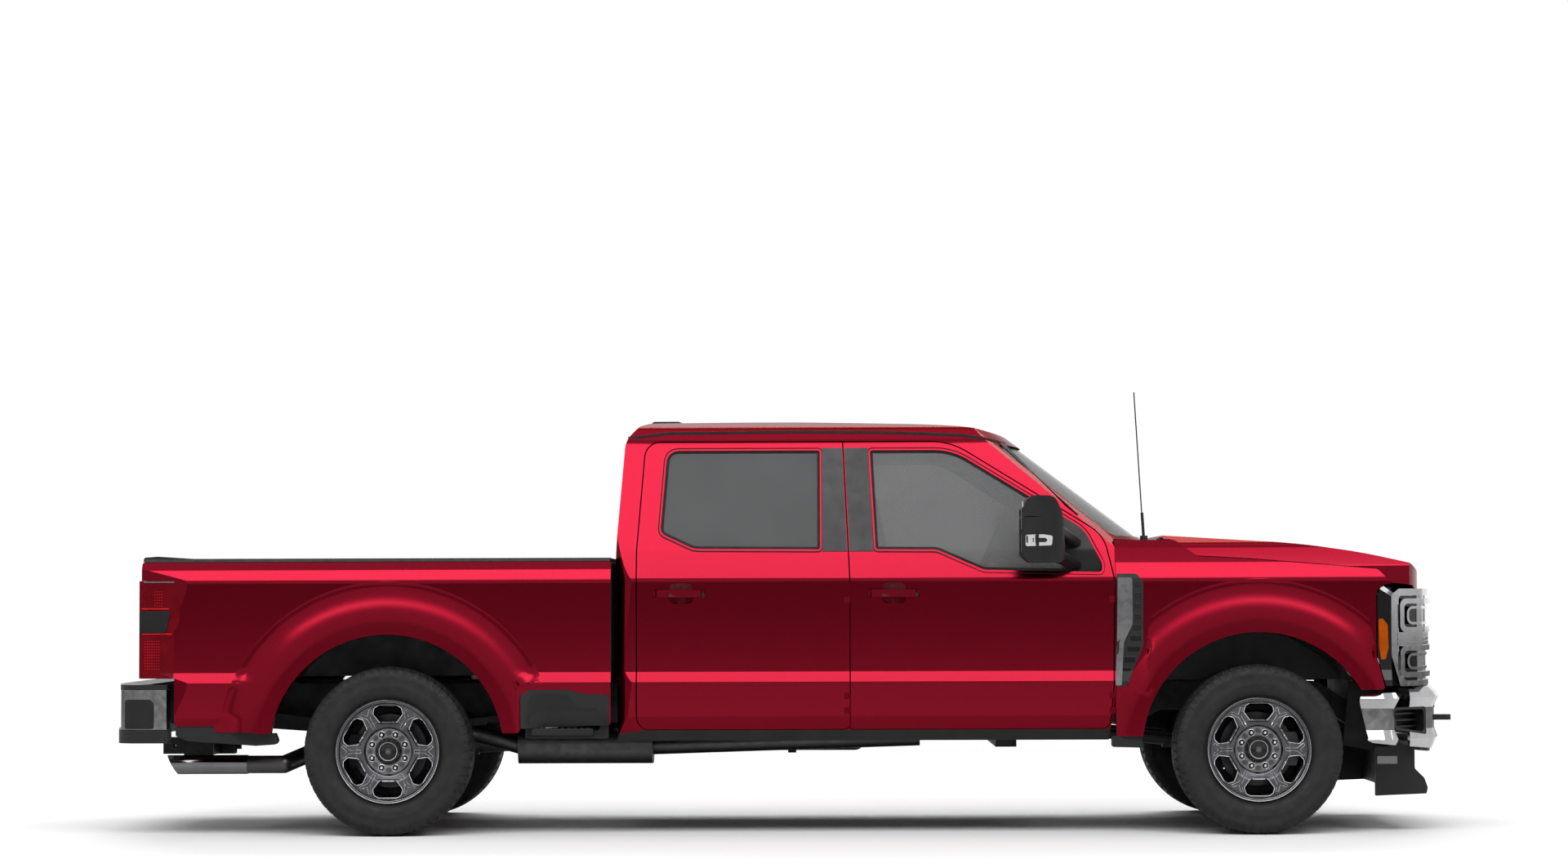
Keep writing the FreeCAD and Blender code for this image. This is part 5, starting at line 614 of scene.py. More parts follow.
def tyre_profile():
    """Outer (radius, y) points from bead to bead."""
    side = [(0.247, 0.103), (0.256, 0.112), (0.262, 0.121), (0.272, 0.127), (0.288, 0.1315),
            (0.303, 0.1345), (0.309, 0.1355), (0.313, 0.1345), (0.33, 0.1355), (0.343, 0.1352),
            (0.346, 0.1358), (0.356, 0.1352), (0.364, 0.133), (0.372, 0.129), (0.379, 0.124), (0.385, 0.1185)]
    crown = []
    for i in range(CROWN_STEPS + 1):
        y = CROWN_HALF - 2 * CROWN_HALF * i / CROWN_STEPS
        drop = 0.0035 * (y / CROWN_HALF) ** 2
        crown.append((TYRE_RADIUS - drop - 0.0045 * (abs(y) / CROWN_HALF) ** 8, y))
    return side + crown + [(r, -y) for r, y in reversed(side)]


def tread_depth(angle, y, radius):
    """How far the tread is cut away at this place."""
    turn = angle / TAU * TREAD_PITCH
    across = abs(y)
    sign = 1 if y > 0 else -1
    if radius < 0.362:
        return 0.0
    if across > 0.1175:
        return 0.0045 if (turn + 0.12 * sign) % 1.0 < 0.3 else 0.0
    for centre in (0.024, 0.07):
        wave = 0.0035 * math.sin(TAU * turn)
        if abs(across - centre - wave) < 0.0052:
            return 0.009
    if across > 0.07:
        return 0.0075 if (turn + 0.12 * sign + (across - 0.07) * 6) % 1.0 < 0.26 else 0.0
    if across > 0.024:
        return 0.006 if (turn + across * 26 * sign) % 1.0 < 0.17 else 0.0
    return 0.005 if (turn + y * 40) % 1.0 < 0.14 else 0.0


def tyre_mesh():
    outer = tyre_profile()
    inner = [(0.238, -0.101), (0.255, -0.093), (0.303, -0.118), (0.352, -0.112), (0.3745, -0.088),
             (0.3745, 0.088), (0.352, 0.112), (0.303, 0.118), (0.255, 0.093), (0.238, 0.101)]
    verts = []
    for i in range(TREAD_STEPS):
        a = TAU * i / TREAD_STEPS
        for r, y in outer:
            r -= tread_depth(a, y, r)
            verts.append((r * math.cos(a), y, r * math.sin(a)))
        verts += [(r * math.cos(a), y, r * math.sin(a)) for r, y in inner]
    faces = ring_faces(TREAD_STEPS, len(outer) + len(inner))
    return new_mesh("treaded_tyre", verts, faces, RUBBER, sharp=32, merge=False)


def make_tyres():
    mesh = tyre_mesh()
    for wheel, sign, x, y in WHEELS:
        tyre = link_object("tread_tyre_" + wheel, mesh)
        turn = Matrix.Rotation(0 if sign > 0 else math.pi, 4, "Z")
        tyre.matrix_world = Matrix.Translation((fx(x), sign * y, TYRE_RADIUS)) @ turn
        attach(tyre, "wheel_" + wheel)
        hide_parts("tyre_" + wheel)


# Two-tone CAD nodes: faces that look into the cab, the engine bay or the underbody, and darker faces under
# the bed's arches and on the rims' backs that are painted shade

def split_look(name, mat, test):
    """Gives mat to the faces of a CAD node for which test(centre, normal) holds."""
    mesh = NODES[name].data
    mesh.materials.append(mat)
    index = len(mesh.materials) - 1
    for face in mesh.polygons:
        if test(face.center, face.normal):
            face.material_index = index


def split_nodes():
    shell = tree("cab_shell", *("door_" + wheel[0] for wheel in WHEELS))

    def faces_room(centre, normal):
        inside = fx(1.1) < centre.x < fx(3.4) and centre.z > 0.7
        return inside and shell.ray_cast(centre + normal * 0.012, normal, 3.0)[0] is not None

    split_look("cab_shell", INTERIOR, faces_room)
    split_look("cab_shell", CHASSIS, lambda c, n: c.z < 0.71 and abs(c.y) < 0.9 and n.z < 0.5)
    split_look("cab_shell", BLACK, lambda c, n: c.z < 0.482 and abs(c.y) >= 0.9)
    split_look("bed_box", CHASSIS, lambda c, n: c.z < 0.745 and abs(c.y) < 0.9 and n.z < -0.3)
    split_look("bed_box", LINER, lambda c, n: abs(c.y) < 0.885 and c.z > 0.745 and n.z > -0.15)
    # faces under the bed's wheel arches and rails that look down get the darker paint: painted shade
    split_look("bed_box", PAINT_SHADE, lambda c, n: abs(c.y) < 0.985 and c.z > 0.62 and n.z < -0.15)
    split_look("tailgate", LINER, lambda c, n: n.x > 0.5 and c.z < 1.27)
    split_look("front_fenders", CHASSIS, lambda c, n: abs(c.y) < 0.965 and n.z < 0.2 and c.z < 1.2)
    for wheel, sign, x, y in WHEELS:
        split_look("door_" + wheel, INTERIOR,
                   lambda c, n: n.y * sign < -0.5 and abs(c.y) < (0.96 if c.z < 1.3 else 0.92))
        middle = Vector((fx(x), sign * y, TYRE_RADIUS))
        rim = "rim_" + wheel
        # the chamfers round the windows and the flange's edge, then the barrel and the spokes' backs, whose
        # darker metal is painted shade
        split_look(rim, SATIN_SILVER,
                   lambda c, n: (c.y - middle.y) * sign > 0.045 and 0.35 < n.y * sign < 0.96
                   and 0.145 < (c - middle).cross(Vector((0, 1, 0))).length < 0.25)
        split_look(rim, WHEEL_BACK_SHADE, lambda c, n: (c.y - middle.y) * sign < 0.04 or n.y * sign < 0.1)


# Window surrounds and pillar trims

WINDOW_TOP_Z = GLASS_TOP_Z - 0.042
REAR_WINDOW = [
    (B_PILLAR_X - 0.126, BELT_Z + 0.006, 0.012), (REAR_DOOR_REAR_X + 0.25, BELT_Z + 0.01, 0.12),
    (REAR_DOOR_REAR_X + 0.092, BELT_Z + 0.084, 0.04), (REAR_DOOR_REAR_X + 0.122, WINDOW_TOP_Z, 0.06),
    (B_PILLAR_X - 0.126, WINDOW_TOP_Z, 0.01)]
FRONT_WINDOW = [
    (B_PILLAR_X + 0.134, BELT_Z + 0.006, 0.012), (B_PILLAR_X + 0.11, WINDOW_TOP_Z, 0.012),
    (FIREWALL_X - 0.75, WINDOW_TOP_Z, 0.3), (FIREWALL_X - 0.14, BELT_Z + 0.098, 0.16),
    (FIREWALL_X - 0.058, SHOULDER_Z + 0.07, 0.06), (FIREWALL_X - 0.062, SHOULDER_Z + 0.032, 0.016),
    (FIREWALL_X - 0.61, SHOULDER_Z + 0.044, 0.08), (B_PILLAR_X + 0.42, BELT_Z + 0.004, 0.08)]
REAR_PILLAR_TRIM = [
    (B_PILLAR_X - 0.116, BELT_Z - 0.002), (B_PILLAR_X + 0.001, BELT_Z - 0.002),
    (B_PILLAR_X - 0.0215, GLASS_TOP_Z - 0.03), (B_PILLAR_X - 0.116, GLASS_TOP_Z - 0.03)]
FRONT_PILLAR_TRIM = [
    (B_PILLAR_X + 0.011, BELT_Z - 0.002), (B_PILLAR_X + 0.124, BELT_Z - 0.002),
    (B_PILLAR_X + 0.101, GLASS_TOP_Z - 0.03), (B_PILLAR_X - 0.0115, GLASS_TOP_Z - 0.03)]


def make_window_trims():
    for side, sign in SIDES:
        for end, window, trim in (("rear", REAR_WINDOW, REAR_PILLAR_TRIM),
                                  ("front", FRONT_WINDOW, FRONT_PILLAR_TRIM)):
            door = "%s_%s" % (end, side)
            body = "door_" + door
            band("window_surround_" + door, shaped(window, 7, 0.05), -0.012, 0.013, 0.0035,
                 (body, "glass_" + door), sign, SEAL, body, sunk=0.012)
            patch("pillar_trim_" + door, in_frame(trim), 0.0045, (body,), sign, GREY_TRIM, body)


# Nose: grille mesh, fender vents and the headlamps' side, with a painted highlight on each lamp's corner

def nose_x(y, back=0.0):
    """Frame x of the nose's sweep at y, moved back."""
    return fx(GRILLE_FRONT_X - back - NOSE_SWEEP_R + math.sqrt(NOSE_SWEEP_R ** 2 - y ** 2))


MESH_HALF, MESH_LOW_Z, MESH_HIGH_Z = 0.672, 0.7, 1.104
MESH_ROWS, MESH_COLUMNS = 22, 60


def make_grille_mesh():
    build = Build()
    for i in range(MESH_ROWS):
        z = MESH_LOW_Z + (MESH_HIGH_Z - MESH_LOW_Z) * (i + 0.5) / MESH_ROWS
        path = [(nose_x(y, 0.072), y, z) for y in [-MESH_HALF + 2 * MESH_HALF * k / 24 for k in range(25)]]
        build.sweep(path, oblong(-0.004, 0.004, -0.0022, 0.0022))
    for k in range(MESH_COLUMNS):
        y = -MESH_HALF + 2 * MESH_HALF * (k + 0.5) / MESH_COLUMNS
        x = nose_x(y, 0.074)
        build.box((x - 0.004, y - 0.002, MESH_LOW_Z), (x + 0.003, y + 0.002, MESH_HIGH_Z))
    build.make("grille_mesh", SATIN, smooth=False)
    back = Build()
    ys = [-0.68 + 1.36 * k / 20 for k in range(21)]
    back.prism([(nose_x(y, 0.098), y) for y in ys] + [(nose_x(y, 0.103), y) for y in reversed(ys)],
               lambda a, b: (a, b, 0.695), (0, 0, 0.415))
    back.make("grille_backing", SATIN, smooth=False)


VENT_STRIP = [
    (3.404, 1.196, 0.008), (3.472, 1.196, 0.012), (3.474, 0.982, 0.03), (3.433, 0.897, 0.03),
    (3.42, 0.694, 0.006), (3.392, 0.694, 0.006), (3.4, 0.9, 0.01)]


def make_vents():
    names = ("side_trim", "front_fenders")
    for side, sign in SIDES:
        patch("vent_strip_" + side, shaped(VENT_STRIP, 3, 0.06), 0.004, names, sign, SATIN_SILVER,
              slot="chrome")
        slots = Build()
        for i in range(9):
            z = 1.165 - 0.05 * i
            left = 3.484 if z > 0.99 else 3.484 - (0.99 - z) * 0.28
            right = 3.512 if z > 0.88 else 3.512 - (0.88 - z) * 0.42
            here = side_point(names, fx(right), z, sign, 0.0012)
            low, high = sorted((here.y, here.y - sign * 0.006))
            slots.box((fx(left), low, z - 0.014), (fx(right), high, z + 0.012))
        slots.make("vent_louvres_" + side, GLOSS_BLACK, smooth=False, bevel=0.001)


AMBER_MARKER = [
    (4.618, 1.0, 0.006), (4.638, 1.0, 0.006), (4.66, 0.972, 0.01), (4.664, 0.868, 0.01),
    (4.65, 0.812, 0.008), (4.63, 0.81, 0.006), (4.62, 0.87, 0.01)]
HEADLAMP_GLINT = [(4.622, 1.14), (4.64, 1.152), (4.688, 1.12), (4.676, 1.104)]


def make_headlamp_parts():
    names = ("headlamps", "grille", "front_fenders")
    for side, sign in SIDES:
        patch("amber_marker_" + side, shaped(AMBER_MARKER, 3, 0.03), 0.003, names, sign, AMBER,
              slot="lamp_clear", sunk=0.006, cell=0.03)
        # a bright chrome patch on the lamp's upper corner: a painted highlight
        patch("headlamp_painted_glint_" + side, divided(in_frame(HEADLAMP_GLINT), 0.02), 0.0015, names, sign,
              BRIGHT_CHROME, slot="chrome", cell=0.02)


# Tail lamps: black block, bright lines and a pattern of small cells

LAMP_BLOCK = [
    (-1.158, 1.052), (-1.015, 1.054), (-1.018, 1.02), (-1.034, 0.958), (-1.04, 0.95), (-1.158, 0.95)]
LAMP_LINES = ((1.184, -1.14, -0.995, SATIN_SILVER), (1.06, -1.15, -1.02, LIT_RED),
              (0.942, -1.15, -1.005, LIT_RED))
LAMP_FIELDS = ((1.075, 1.165, -1.09, -1.045), (0.78, 0.925, -1.135, -1.05))
CELL_ROW, CELL_COLUMN = 0.013, 0.011


def make_tail_lamp_parts():
    names = ("rear_lamps", "bed_box")
    for side, sign in SIDES:
        patch("tail_lamp_block_" + side, divided(in_frame(LAMP_BLOCK), 0.05), 0.006, names, sign,
              GLOSS_BLACK, slot="lamp_red")
        for index, (z, left, right, mat) in enumerate(LAMP_LINES):
            line = divided(in_frame(oblong(left, right, z, z + 0.006)), 0.05)
            patch("tail_lamp_line_%d_%s" % (index, side), line, 0.003, names, sign, mat, slot="lamp_red",
                  sunk=0.003, cell=0.04)
        cells = Build()
        for low, high, left, right in LAMP_FIELDS:
            for r in range(int((high - low) / CELL_ROW)):
                for c in range(int((right - left) / CELL_COLUMN)):
                    x, z = left + CELL_COLUMN * c, low + CELL_ROW * r
                    here = side_point(names, fx(x), z, sign, 0.0018)
                    near, far = sorted((here.y, here.y - sign * 0.004))
                    cells.box((fx(x), near, z), (fx(x) + 0.0045, far, z + 0.0035))
        cells.make("tail_lamp_pattern_" + side, LIT_RED, slot="lamp_red", smooth=False)


# Swells of the panels round the wheel openings

SKIN = [
    (0.44, SIDE_Y - 0.07), (0.493, SIDE_Y - 0.034), (0.553, SIDE_Y - 0.008), (0.714, SIDE_Y),
    (0.764, SIDE_Y - 0.016), (SHOULDER_Z, SIDE_Y), (BELT_Z, SIDE_Y - 0.038)]
SWELL_IN, SWELL_FLAT, SWELL_OUT, SWELL_RISE = 0.549, 0.606, 0.815, 0.0275
SWELL_STEPS, SWELL_RINGS = 96, 26
SWELL_FADE, SWELL_THICK = 0.03, 0.004


def skin_side(z):
    """Half width of the body's side at height z, without its flares."""
    for low, high in zip(SKIN, SKIN[1:]):
        if z <= high[0]:
            break
    t = min(1.0, max(0.0, (z - low[0]) / (high[0] - low[0])))
    return low[1] + (high[1] - low[1]) * t


def ease(t):
    t = min(1.0, max(0.0, t))
    return t * t * (3 - 2 * t)


def swell_point(x_axle, feet, limits, names, sign, i, k):
    """Point i round the opening and k outward, and whether the swell covers it."""
    rear_x, front_x = limits
    r = SWELL_IN + (SWELL_OUT - SWELL_IN) * k / SWELL_RINGS
    first, last = [math.asin((foot - TYRE_RADIUS) / r) for foot in feet]
    a = first + (math.pi - first - last) * i / SWELL_STEPS
    x, z = x_axle + r * math.cos(a), TYRE_RADIUS + r * math.sin(a)
    inside = min(x - rear_x(z), front_x(z) - x)
    side = abs(side_point(names, fx(x), z, sign).y)
    reach = (r - SWELL_FLAT) / (SWELL_OUT - SWELL_FADE - SWELL_FLAT)
    fall = 0.5 + 0.5 * math.cos(math.pi * min(1.0, max(0.0, reach)))
    level = skin_side(z) + (SIDE_Y - skin_side(z)) * (1 - ease((r - 0.66) / 0.12))
    target = max(level + SWELL_RISE * fall, side + 0.0007)
    blend = ease(min(inside / SWELL_FADE, (SWELL_OUT - r) / SWELL_FADE))
    y = (side - 0.002) * (1 - blend) + target * blend
    return Vector((fx(x), sign * y, z)), inside > -0.004 and side > SIDE_Y - 0.075


def make_swell(name, x_axle, feet, limits, names, sign):
    """Soft bulge of the panel round a wheel opening, over the CAD flare."""
    corners = [(i, k) for i in range(SWELL_STEPS + 1) for k in range(SWELL_RINGS + 1)]
    points = {c: swell_point(x_axle, feet, limits, names, sign, *c) for c in corners}
    verts, index = [], {}
    for back in (0, 1):
        for c in corners:
            index[(back,) + c] = len(verts)
            verts.append(points[c][0] - Vector((0, sign * SWELL_THICK * back, 0)))
    faces, edges = [], {}
    for i in range(SWELL_STEPS):
        for k in range(SWELL_RINGS):
            ring = [(i, k), (i + 1, k), (i + 1, k + 1), (i, k + 1)]
            if all(points[c][1] for c in ring):
                faces.append(tuple(index[(0,) + c] for c in ring))
                faces.append(tuple(index[(1,) + c] for c in reversed(ring)))
                for a, b in zip(ring, ring[1:] + ring[:1]):
                    key = tuple(sorted((a, b)))
                    edges[key] = None if key in edges else (a, b)
    for pair in edges.values():
        if pair:
            a, b = pair
            faces.append((index[(0,) + b], index[(0,) + a], index[(1,) + a], index[(1,) + b]))
    used = sorted({v for f in faces for v in f})
    renumber = {v: n for n, v in enumerate(used)}
    add(name, [verts[v] for v in used], [tuple(renumber[v] for v in f) for f in faces], PAINT,
        slot="body_paint")


def make_swells():
    for side, sign in SIDES:
        make_swell("rear_swell_" + side, 0.0, (0.486, 0.486),
                   (lambda z: -0.915, lambda z: 0.612 if z < 0.7 else 1.036), ("bed_box",), sign)
        make_swell("front_swell_" + side, FRONT_AXLE, (0.678, 0.466),
                   (lambda z: 3.532 if z > 0.664 else 3.412,
                    lambda z: 4.604 if z > 0.83 else 4.604 + (0.83 - z) * 0.24), ("front_fenders",), sign)


# Side pieces: bed steps, handle cups with painted shade, locks and roof strips

def trace(points, names, sign, lift, longest=0.05):
    """Points along the body's side through the given (x, z) stations."""
    path = []
    for (x0, z0), (x1, z1) in zip(points, points[1:]):
        cuts = max(1, math.ceil(math.dist((x0, z0), (x1, z1)) / longest))
        path += [side_point(names, fx(x0 + (x1 - x0) * k / cuts), z0 + (z1 - z0) * k / cuts, sign, lift)
                 for k in range(cuts)]
    return path + [side_point(names, fx(points[-1][0]), points[-1][1], sign, lift)]


STEP_FRAME = [
    (0.624, 0.5, 0.01), (0.622, 0.655, 0.03), (0.66, 0.68, 0.03), (0.85, 0.68, 0.02),
    (0.905, 0.662, 0.02), (1.034, 0.656, 0.004), (1.034, 0.516, 0.004)]
STEP_WELL = [
    (0.652, 0.52, 0.01), (0.65, 0.64, 0.02), (0.676, 0.66, 0.02), (0.842, 0.66, 0.02),
    (0.86, 0.63, 0.02), (0.88, 0.6, 0.01), (0.985, 0.59, 0.01), (0.985, 0.52, 0.01)]
ROOF_STRIP = [(1.13, 1.862), (1.3, 1.884), (1.9, 1.89), (2.35, 1.886), (2.68, 1.872), (2.9, 1.838)]
PAD_IN, PAD_OUT = 0.935, 1.006
CUP_LOW, CUP_HIGH = 1.078, 1.176
LOCK = [(0.0, -0.006), (0.01, -0.006), (0.01, 0.0), (0.0, 0.001)]


def make_side_pieces():
    bed = ("bed_box",)
    for side, sign in SIDES:
        patch("bed_step_moulding_" + side, shaped(STEP_FRAME, 4, 0.05), 0.006, bed, sign, BLACK)
        patch("bed_step_well_" + side, shaped(STEP_WELL, 4, 0.05), 0.0075, bed, sign, SATIN)
        pad = Build()
        y0, y1 = sorted((sign * PAD_IN, sign * PAD_OUT))
        section = [(0.675, 0.47, 0.008), (0.675, 0.5, 0.008), (0.962, 0.5, 0.008), (0.962, 0.47, 0.008)]
        pad.prism(rounded(in_frame(section), 3), lambda a, b: (a, y0, b), (0, y1 - y0, 0))
        for i in range(9):
            x = fx(0.69 + 0.03 * i)
            pad.box((x, y0 + 0.008, 0.4995), (x + 0.016, y1 - 0.008, 0.5035))
        pad.make("bed_step_pad_" + side, BLACK, smooth=False, bevel=0.002)
        for end, left in (("rear", 1.238), ("front", 2.23)):
            door = "%s_%s" % (end, side)
            body = "door_" + door
            outline = shaped(oblong(left + 0.078, left + 0.189, CUP_HIGH, CUP_LOW, 0.03), 5, 0.03)
            # the cup is a flat plate of the darker paint laid on the door: painted shade of a recess, not a
            # real hollow
            patch("handle_cup_" + door, outline, 0.0006, (body,), sign, PAINT_SHADE, body,
                  "body_paint", 0.003, 0.03)
            band("handle_cup_lip_" + door, outline, -0.001, 0.003, 0.0016, (body,), sign, PAINT,
                 body, "body_paint", 0.003)
            here = side_point((body,), fx(left + 0.235), 1.118, sign, 0.002)
            Build().turned(LOCK, here, (0, sign, 0), 20).make("door_lock_" + door, SATIN, body, "body_paint")
        strip = Build().sweep(trace(ROOF_STRIP, ("cab_shell",), sign, 0.001, 0.06),
                              oblong(-0.006, 0.006, -0.007, 0.007))
        strip.make("roof_strip_" + side, SEAL, bevel=0.001)


# Bumper corners, splash shields, plate, bed floor and armrests

CORNER_PAD = [
    (-1.232, 0.503, 0.012), (-1.232, 0.64, 0.02), (-1.106, 0.64, 0.03), (-1.09, 0.62, 0.012),
    (-1.09, 0.503, 0.012)]
SPLASH_SHIELD = [(4.5, 0.4), (4.7, 0.36), (4.7, 0.66), (4.64, 0.76), (4.54, 0.76)]
DAM_BRACKET = [(4.642, 0.316, 0.004), (4.642, 0.352, 0.004), (4.736, 0.352, 0.004), (4.736, 0.316, 0.004)]
PLATE = oblong(-0.15, 0.15, 0.52, 0.65, 0.012)


def make_body_parts():
    for side, sign in SIDES:
        patch("rear_bumper_corner_" + side, shaped(CORNER_PAD, 4, 0.03), 0.003, ("rear_bumper",), sign, SATIN,
              sunk=0.006, cell=0.03)
        shield = Build().prism(in_frame(SPLASH_SHIELD), lambda a, b: (a, sign * 0.6, b), (0, sign * 0.006, 0))
        shield.make("splash_shield_" + side, CHASSIS)
        patch("air_dam_bracket_" + side, shaped(DAM_BRACKET, 3, 0.02), 0.002, ("air_dam",), sign,
              SATIN_SILVER, slot="steel", sunk=0.003, cell=0.03)
    face = cast(("rear_bumper",), (fx(-2.6), 0.0, 0.585), (1, 0, 0))
    plate = Build().prism(rounded(PLATE, 4), lambda a, b: (face.x - 0.003, a, b), (0.003, 0, 0))
    plate.make("licence_plate", PLATE_WHITE, slot="steel", bevel=0.0008)
    ribs = Build()
    for k in range(13):
        y = -0.66 + 1.32 * k / 12
        low = cast(("bed_box",), (fx(0.0), y, 1.2), (0, 0, -1))
        wide = 0.026 if abs(y) < 0.56 else 0.018
        outline = [(y - wide, 0.0), (y + wide, 0.0), (y + wide * 0.7, 0.007), (y - wide * 0.7, 0.007)]
        ribs.prism(outline, lambda a, b: (fx(-0.93), a, low.z + b - 0.0005), (1.86, 0, 0))
    ribs.make("bed_floor_ribs", LINER, bevel=0.001)


ARMREST = [(0.0, 0.965, 0.004), (-0.036, 0.985, 0.012), (-0.046, 1.03, 0.012), (0.0, 1.036, 0.004)]
DOOR_PULL = [
    (0.1, 0.002, 1.06), (0.085, -0.03, 1.075), (0.07, -0.034, 1.12), (0.055, -0.03, 1.165),
    (0.05, 0.002, 1.18)]


def make_armrests():
    """Armrest with a pull on the inside of each door."""
    for side, sign in SIDES:
        for end, x0, x1 in (("front", 2.34, 2.88), ("rear", 1.46, 1.94)):
            door = "door_%s_%s" % (end, side)
            inner = abs(cast((door,), (fx((x0 + x1) / 2), 0, 1.01), (0, sign, 0)).y) - 0.0005
            build = Build()
            build.prism(rounded(ARMREST, 4), lambda a, b: (fx(x0), sign * (inner + a), b), (x1 - x0, 0, 0))
            build.tube([(fx(x1 - x), sign * (inner + y), z) for x, y, z in DOOR_PULL], 0.009, 10)
            build.make("armrest_%s_%s" % (end, side), INTERIOR, door, "interior", bevel=0.002)


# Windshield moulding and mirrors

SCREEN_LOW, SCREEN_HIGH = (3.572, 1.405), (2.985, 1.846)
MIRROR_LAMP = [
    (2.958, 1.338, 0.01), (2.958, 1.39, 0.008), (3.04, 1.392, 0.004), (3.084, 1.386, 0.01),
    (3.08, 1.342, 0.01)]
MIRROR_INSET = [
    (2.99, 1.356, 0.004), (2.99, 1.376, 0.004), (3.05, 1.376, 0.004), (3.06, 1.366, 0.004),
    (3.05, 1.356, 0.004)]


def make_screen_moulding():
    """Black moulding where the windshield meets the pillars."""
    shell = ("cab_shell",)
    (low_x, low_z), (high_x, high_z) = SCREEN_LOW, SCREEN_HIGH
    for side, sign in SIDES:
        path = []
        for k in range(19):
            z = 1.425 + (1.838 - 1.425) * k / 18
            glass_x = low_x + (high_x - low_x) * (z - low_z) / (high_z - low_z)
            y = side_point(shell, fx(glass_x - 0.12), z, sign).y - sign * 0.016
            hit = cast(shell, (fx(4.6), y, z), (-1, 0, 0))
            if hit is not None and hit.x > fx(2.7):
                path.append(hit + Vector((0.0015, 0, 0.0015)))
        build = Build()
        build.sweep(path, oblong(-0.013, 0.013, -0.003, 0.003), up=(0, sign * 0.3, 1))
        build.make("windshield_moulding_" + side, SEAL, bevel=0.001)


def make_mirror_parts():
    for side, sign in SIDES:
        names = ("mirror_" + side,)
        patch("mirror_lamp_" + side, shaped(MIRROR_LAMP, 4, 0.02), 0.0004, names, sign, BRIGHT_CHROME,
              slot="chrome", cell=0.02)
        patch("mirror_lamp_inset_" + side, shaped(MIRROR_INSET, 3, 0.02), 0.0009, names, sign, GLOSS_BLACK,
              slot="lamp_clear", cell=0.02)
        seam = trace([(2.95, 1.473), (3.12, 1.473)], names, sign, 0.0003, 0.02)
        Build().tube(seam, 0.0022, 6).make("mirror_seam_" + side, SEAL)
        glass = Build()
        y0, y1 = sorted((sign * 1.135, sign * 1.31))
        for low, high in ((1.3, 1.395), (1.415, 1.545)):
            back = cast(names, (fx(2.6), sign * 1.22, (low + high) / 2), (1, 0, 0))
            outline = [(y0, low, 0.012), (y1, low, 0.012), (y1, high, 0.02), (y0, high, 0.02)]
            glass.prism(rounded(outline, 4), lambda a, b: (back.x - 0.002, a, b), (0.004, 0, 0))
        glass.make("mirror_glass_" + side, MIRROR_GLASS, slot="glass", smooth=False)


# Wheel dressing: window lips, spoke lines, hub ring, lug nuts, inner ring and cap

WINDOWS, NUTS, FLANGE_STEPS = 6, 8, 96
FLANGE_RADIUS, NUT_CIRCLE = 0.2385, 0.083
LIP_HALF = [(0.137, -0.0415, 0.01), (0.176, -0.071, 0.014), (0.204, -0.063, 0.016), (0.2152, -0.0432, 0.016)]
WINDOW_LIP = LIP_HALF + [(r, -t, bend) for r, t, bend in reversed(LIP_HALF)]
SPOKE_LINE = [
    (0.124, -0.006), (0.176, -0.007), (0.206, -0.03), (0.213, -0.022), (0.19, 0.0), (0.213, 0.022),
    (0.206, 0.03), (0.176, 0.007), (0.124, 0.006)]
HUB_RING = [
    (0.058, -0.004), (0.109, -0.004), (0.109, 0.001), (0.106, 0.0035), (0.062, 0.0035), (0.058, 0.001)]
LUG_CUP = oblong(0.0, 0.0145, 0.002, 0.0042)
LUG_NUT = [(0.0, 0.002), (0.0095, 0.002), (0.0095, 0.012), (0.006, 0.016), (0.0, 0.0165)]
LUG_RIM = oblong(0.0145, 0.0165, 0.003, 0.0052)
INNER_RING = [(0.176, -0.0015), (0.214, -0.004), (0.214, 0.004), (0.176, 0.0015)]
HUB_CAP = [
    (0.0, 0.0), (0.057, 0.0), (0.057, 0.016), (0.052, 0.023), (0.04, 0.026), (0.03, 0.0245),
    (0.0, 0.0245)]
CAP_RING = oblong(0.04, 0.0435, 0.0255, 0.0275)


def wheel_loop(node, x, y, sign, outline, angle, lift):
    """Closed path of (radius, offset) points laid on the wheel's outer face."""
    path = []
    ca, sa = math.cos(angle), math.sin(angle)
    for r, t in outline:
        px, pz = fx(x) + r * ca - t * sa, TYRE_RADIUS + r * sa + t * ca
        hit = cast((node,), (px, sign * 1.6, pz), (0, -sign, 0))
        path.append(Vector((px, hit.y if hit is not None else sign * (y + 0.07), pz)))
    middle = sorted(p.y for p in path)[len(path) // 2]
    return [Vector((p.x, (p.y if abs(p.y - middle) < 0.012 else middle) + sign * lift, p.z)) for p in path]


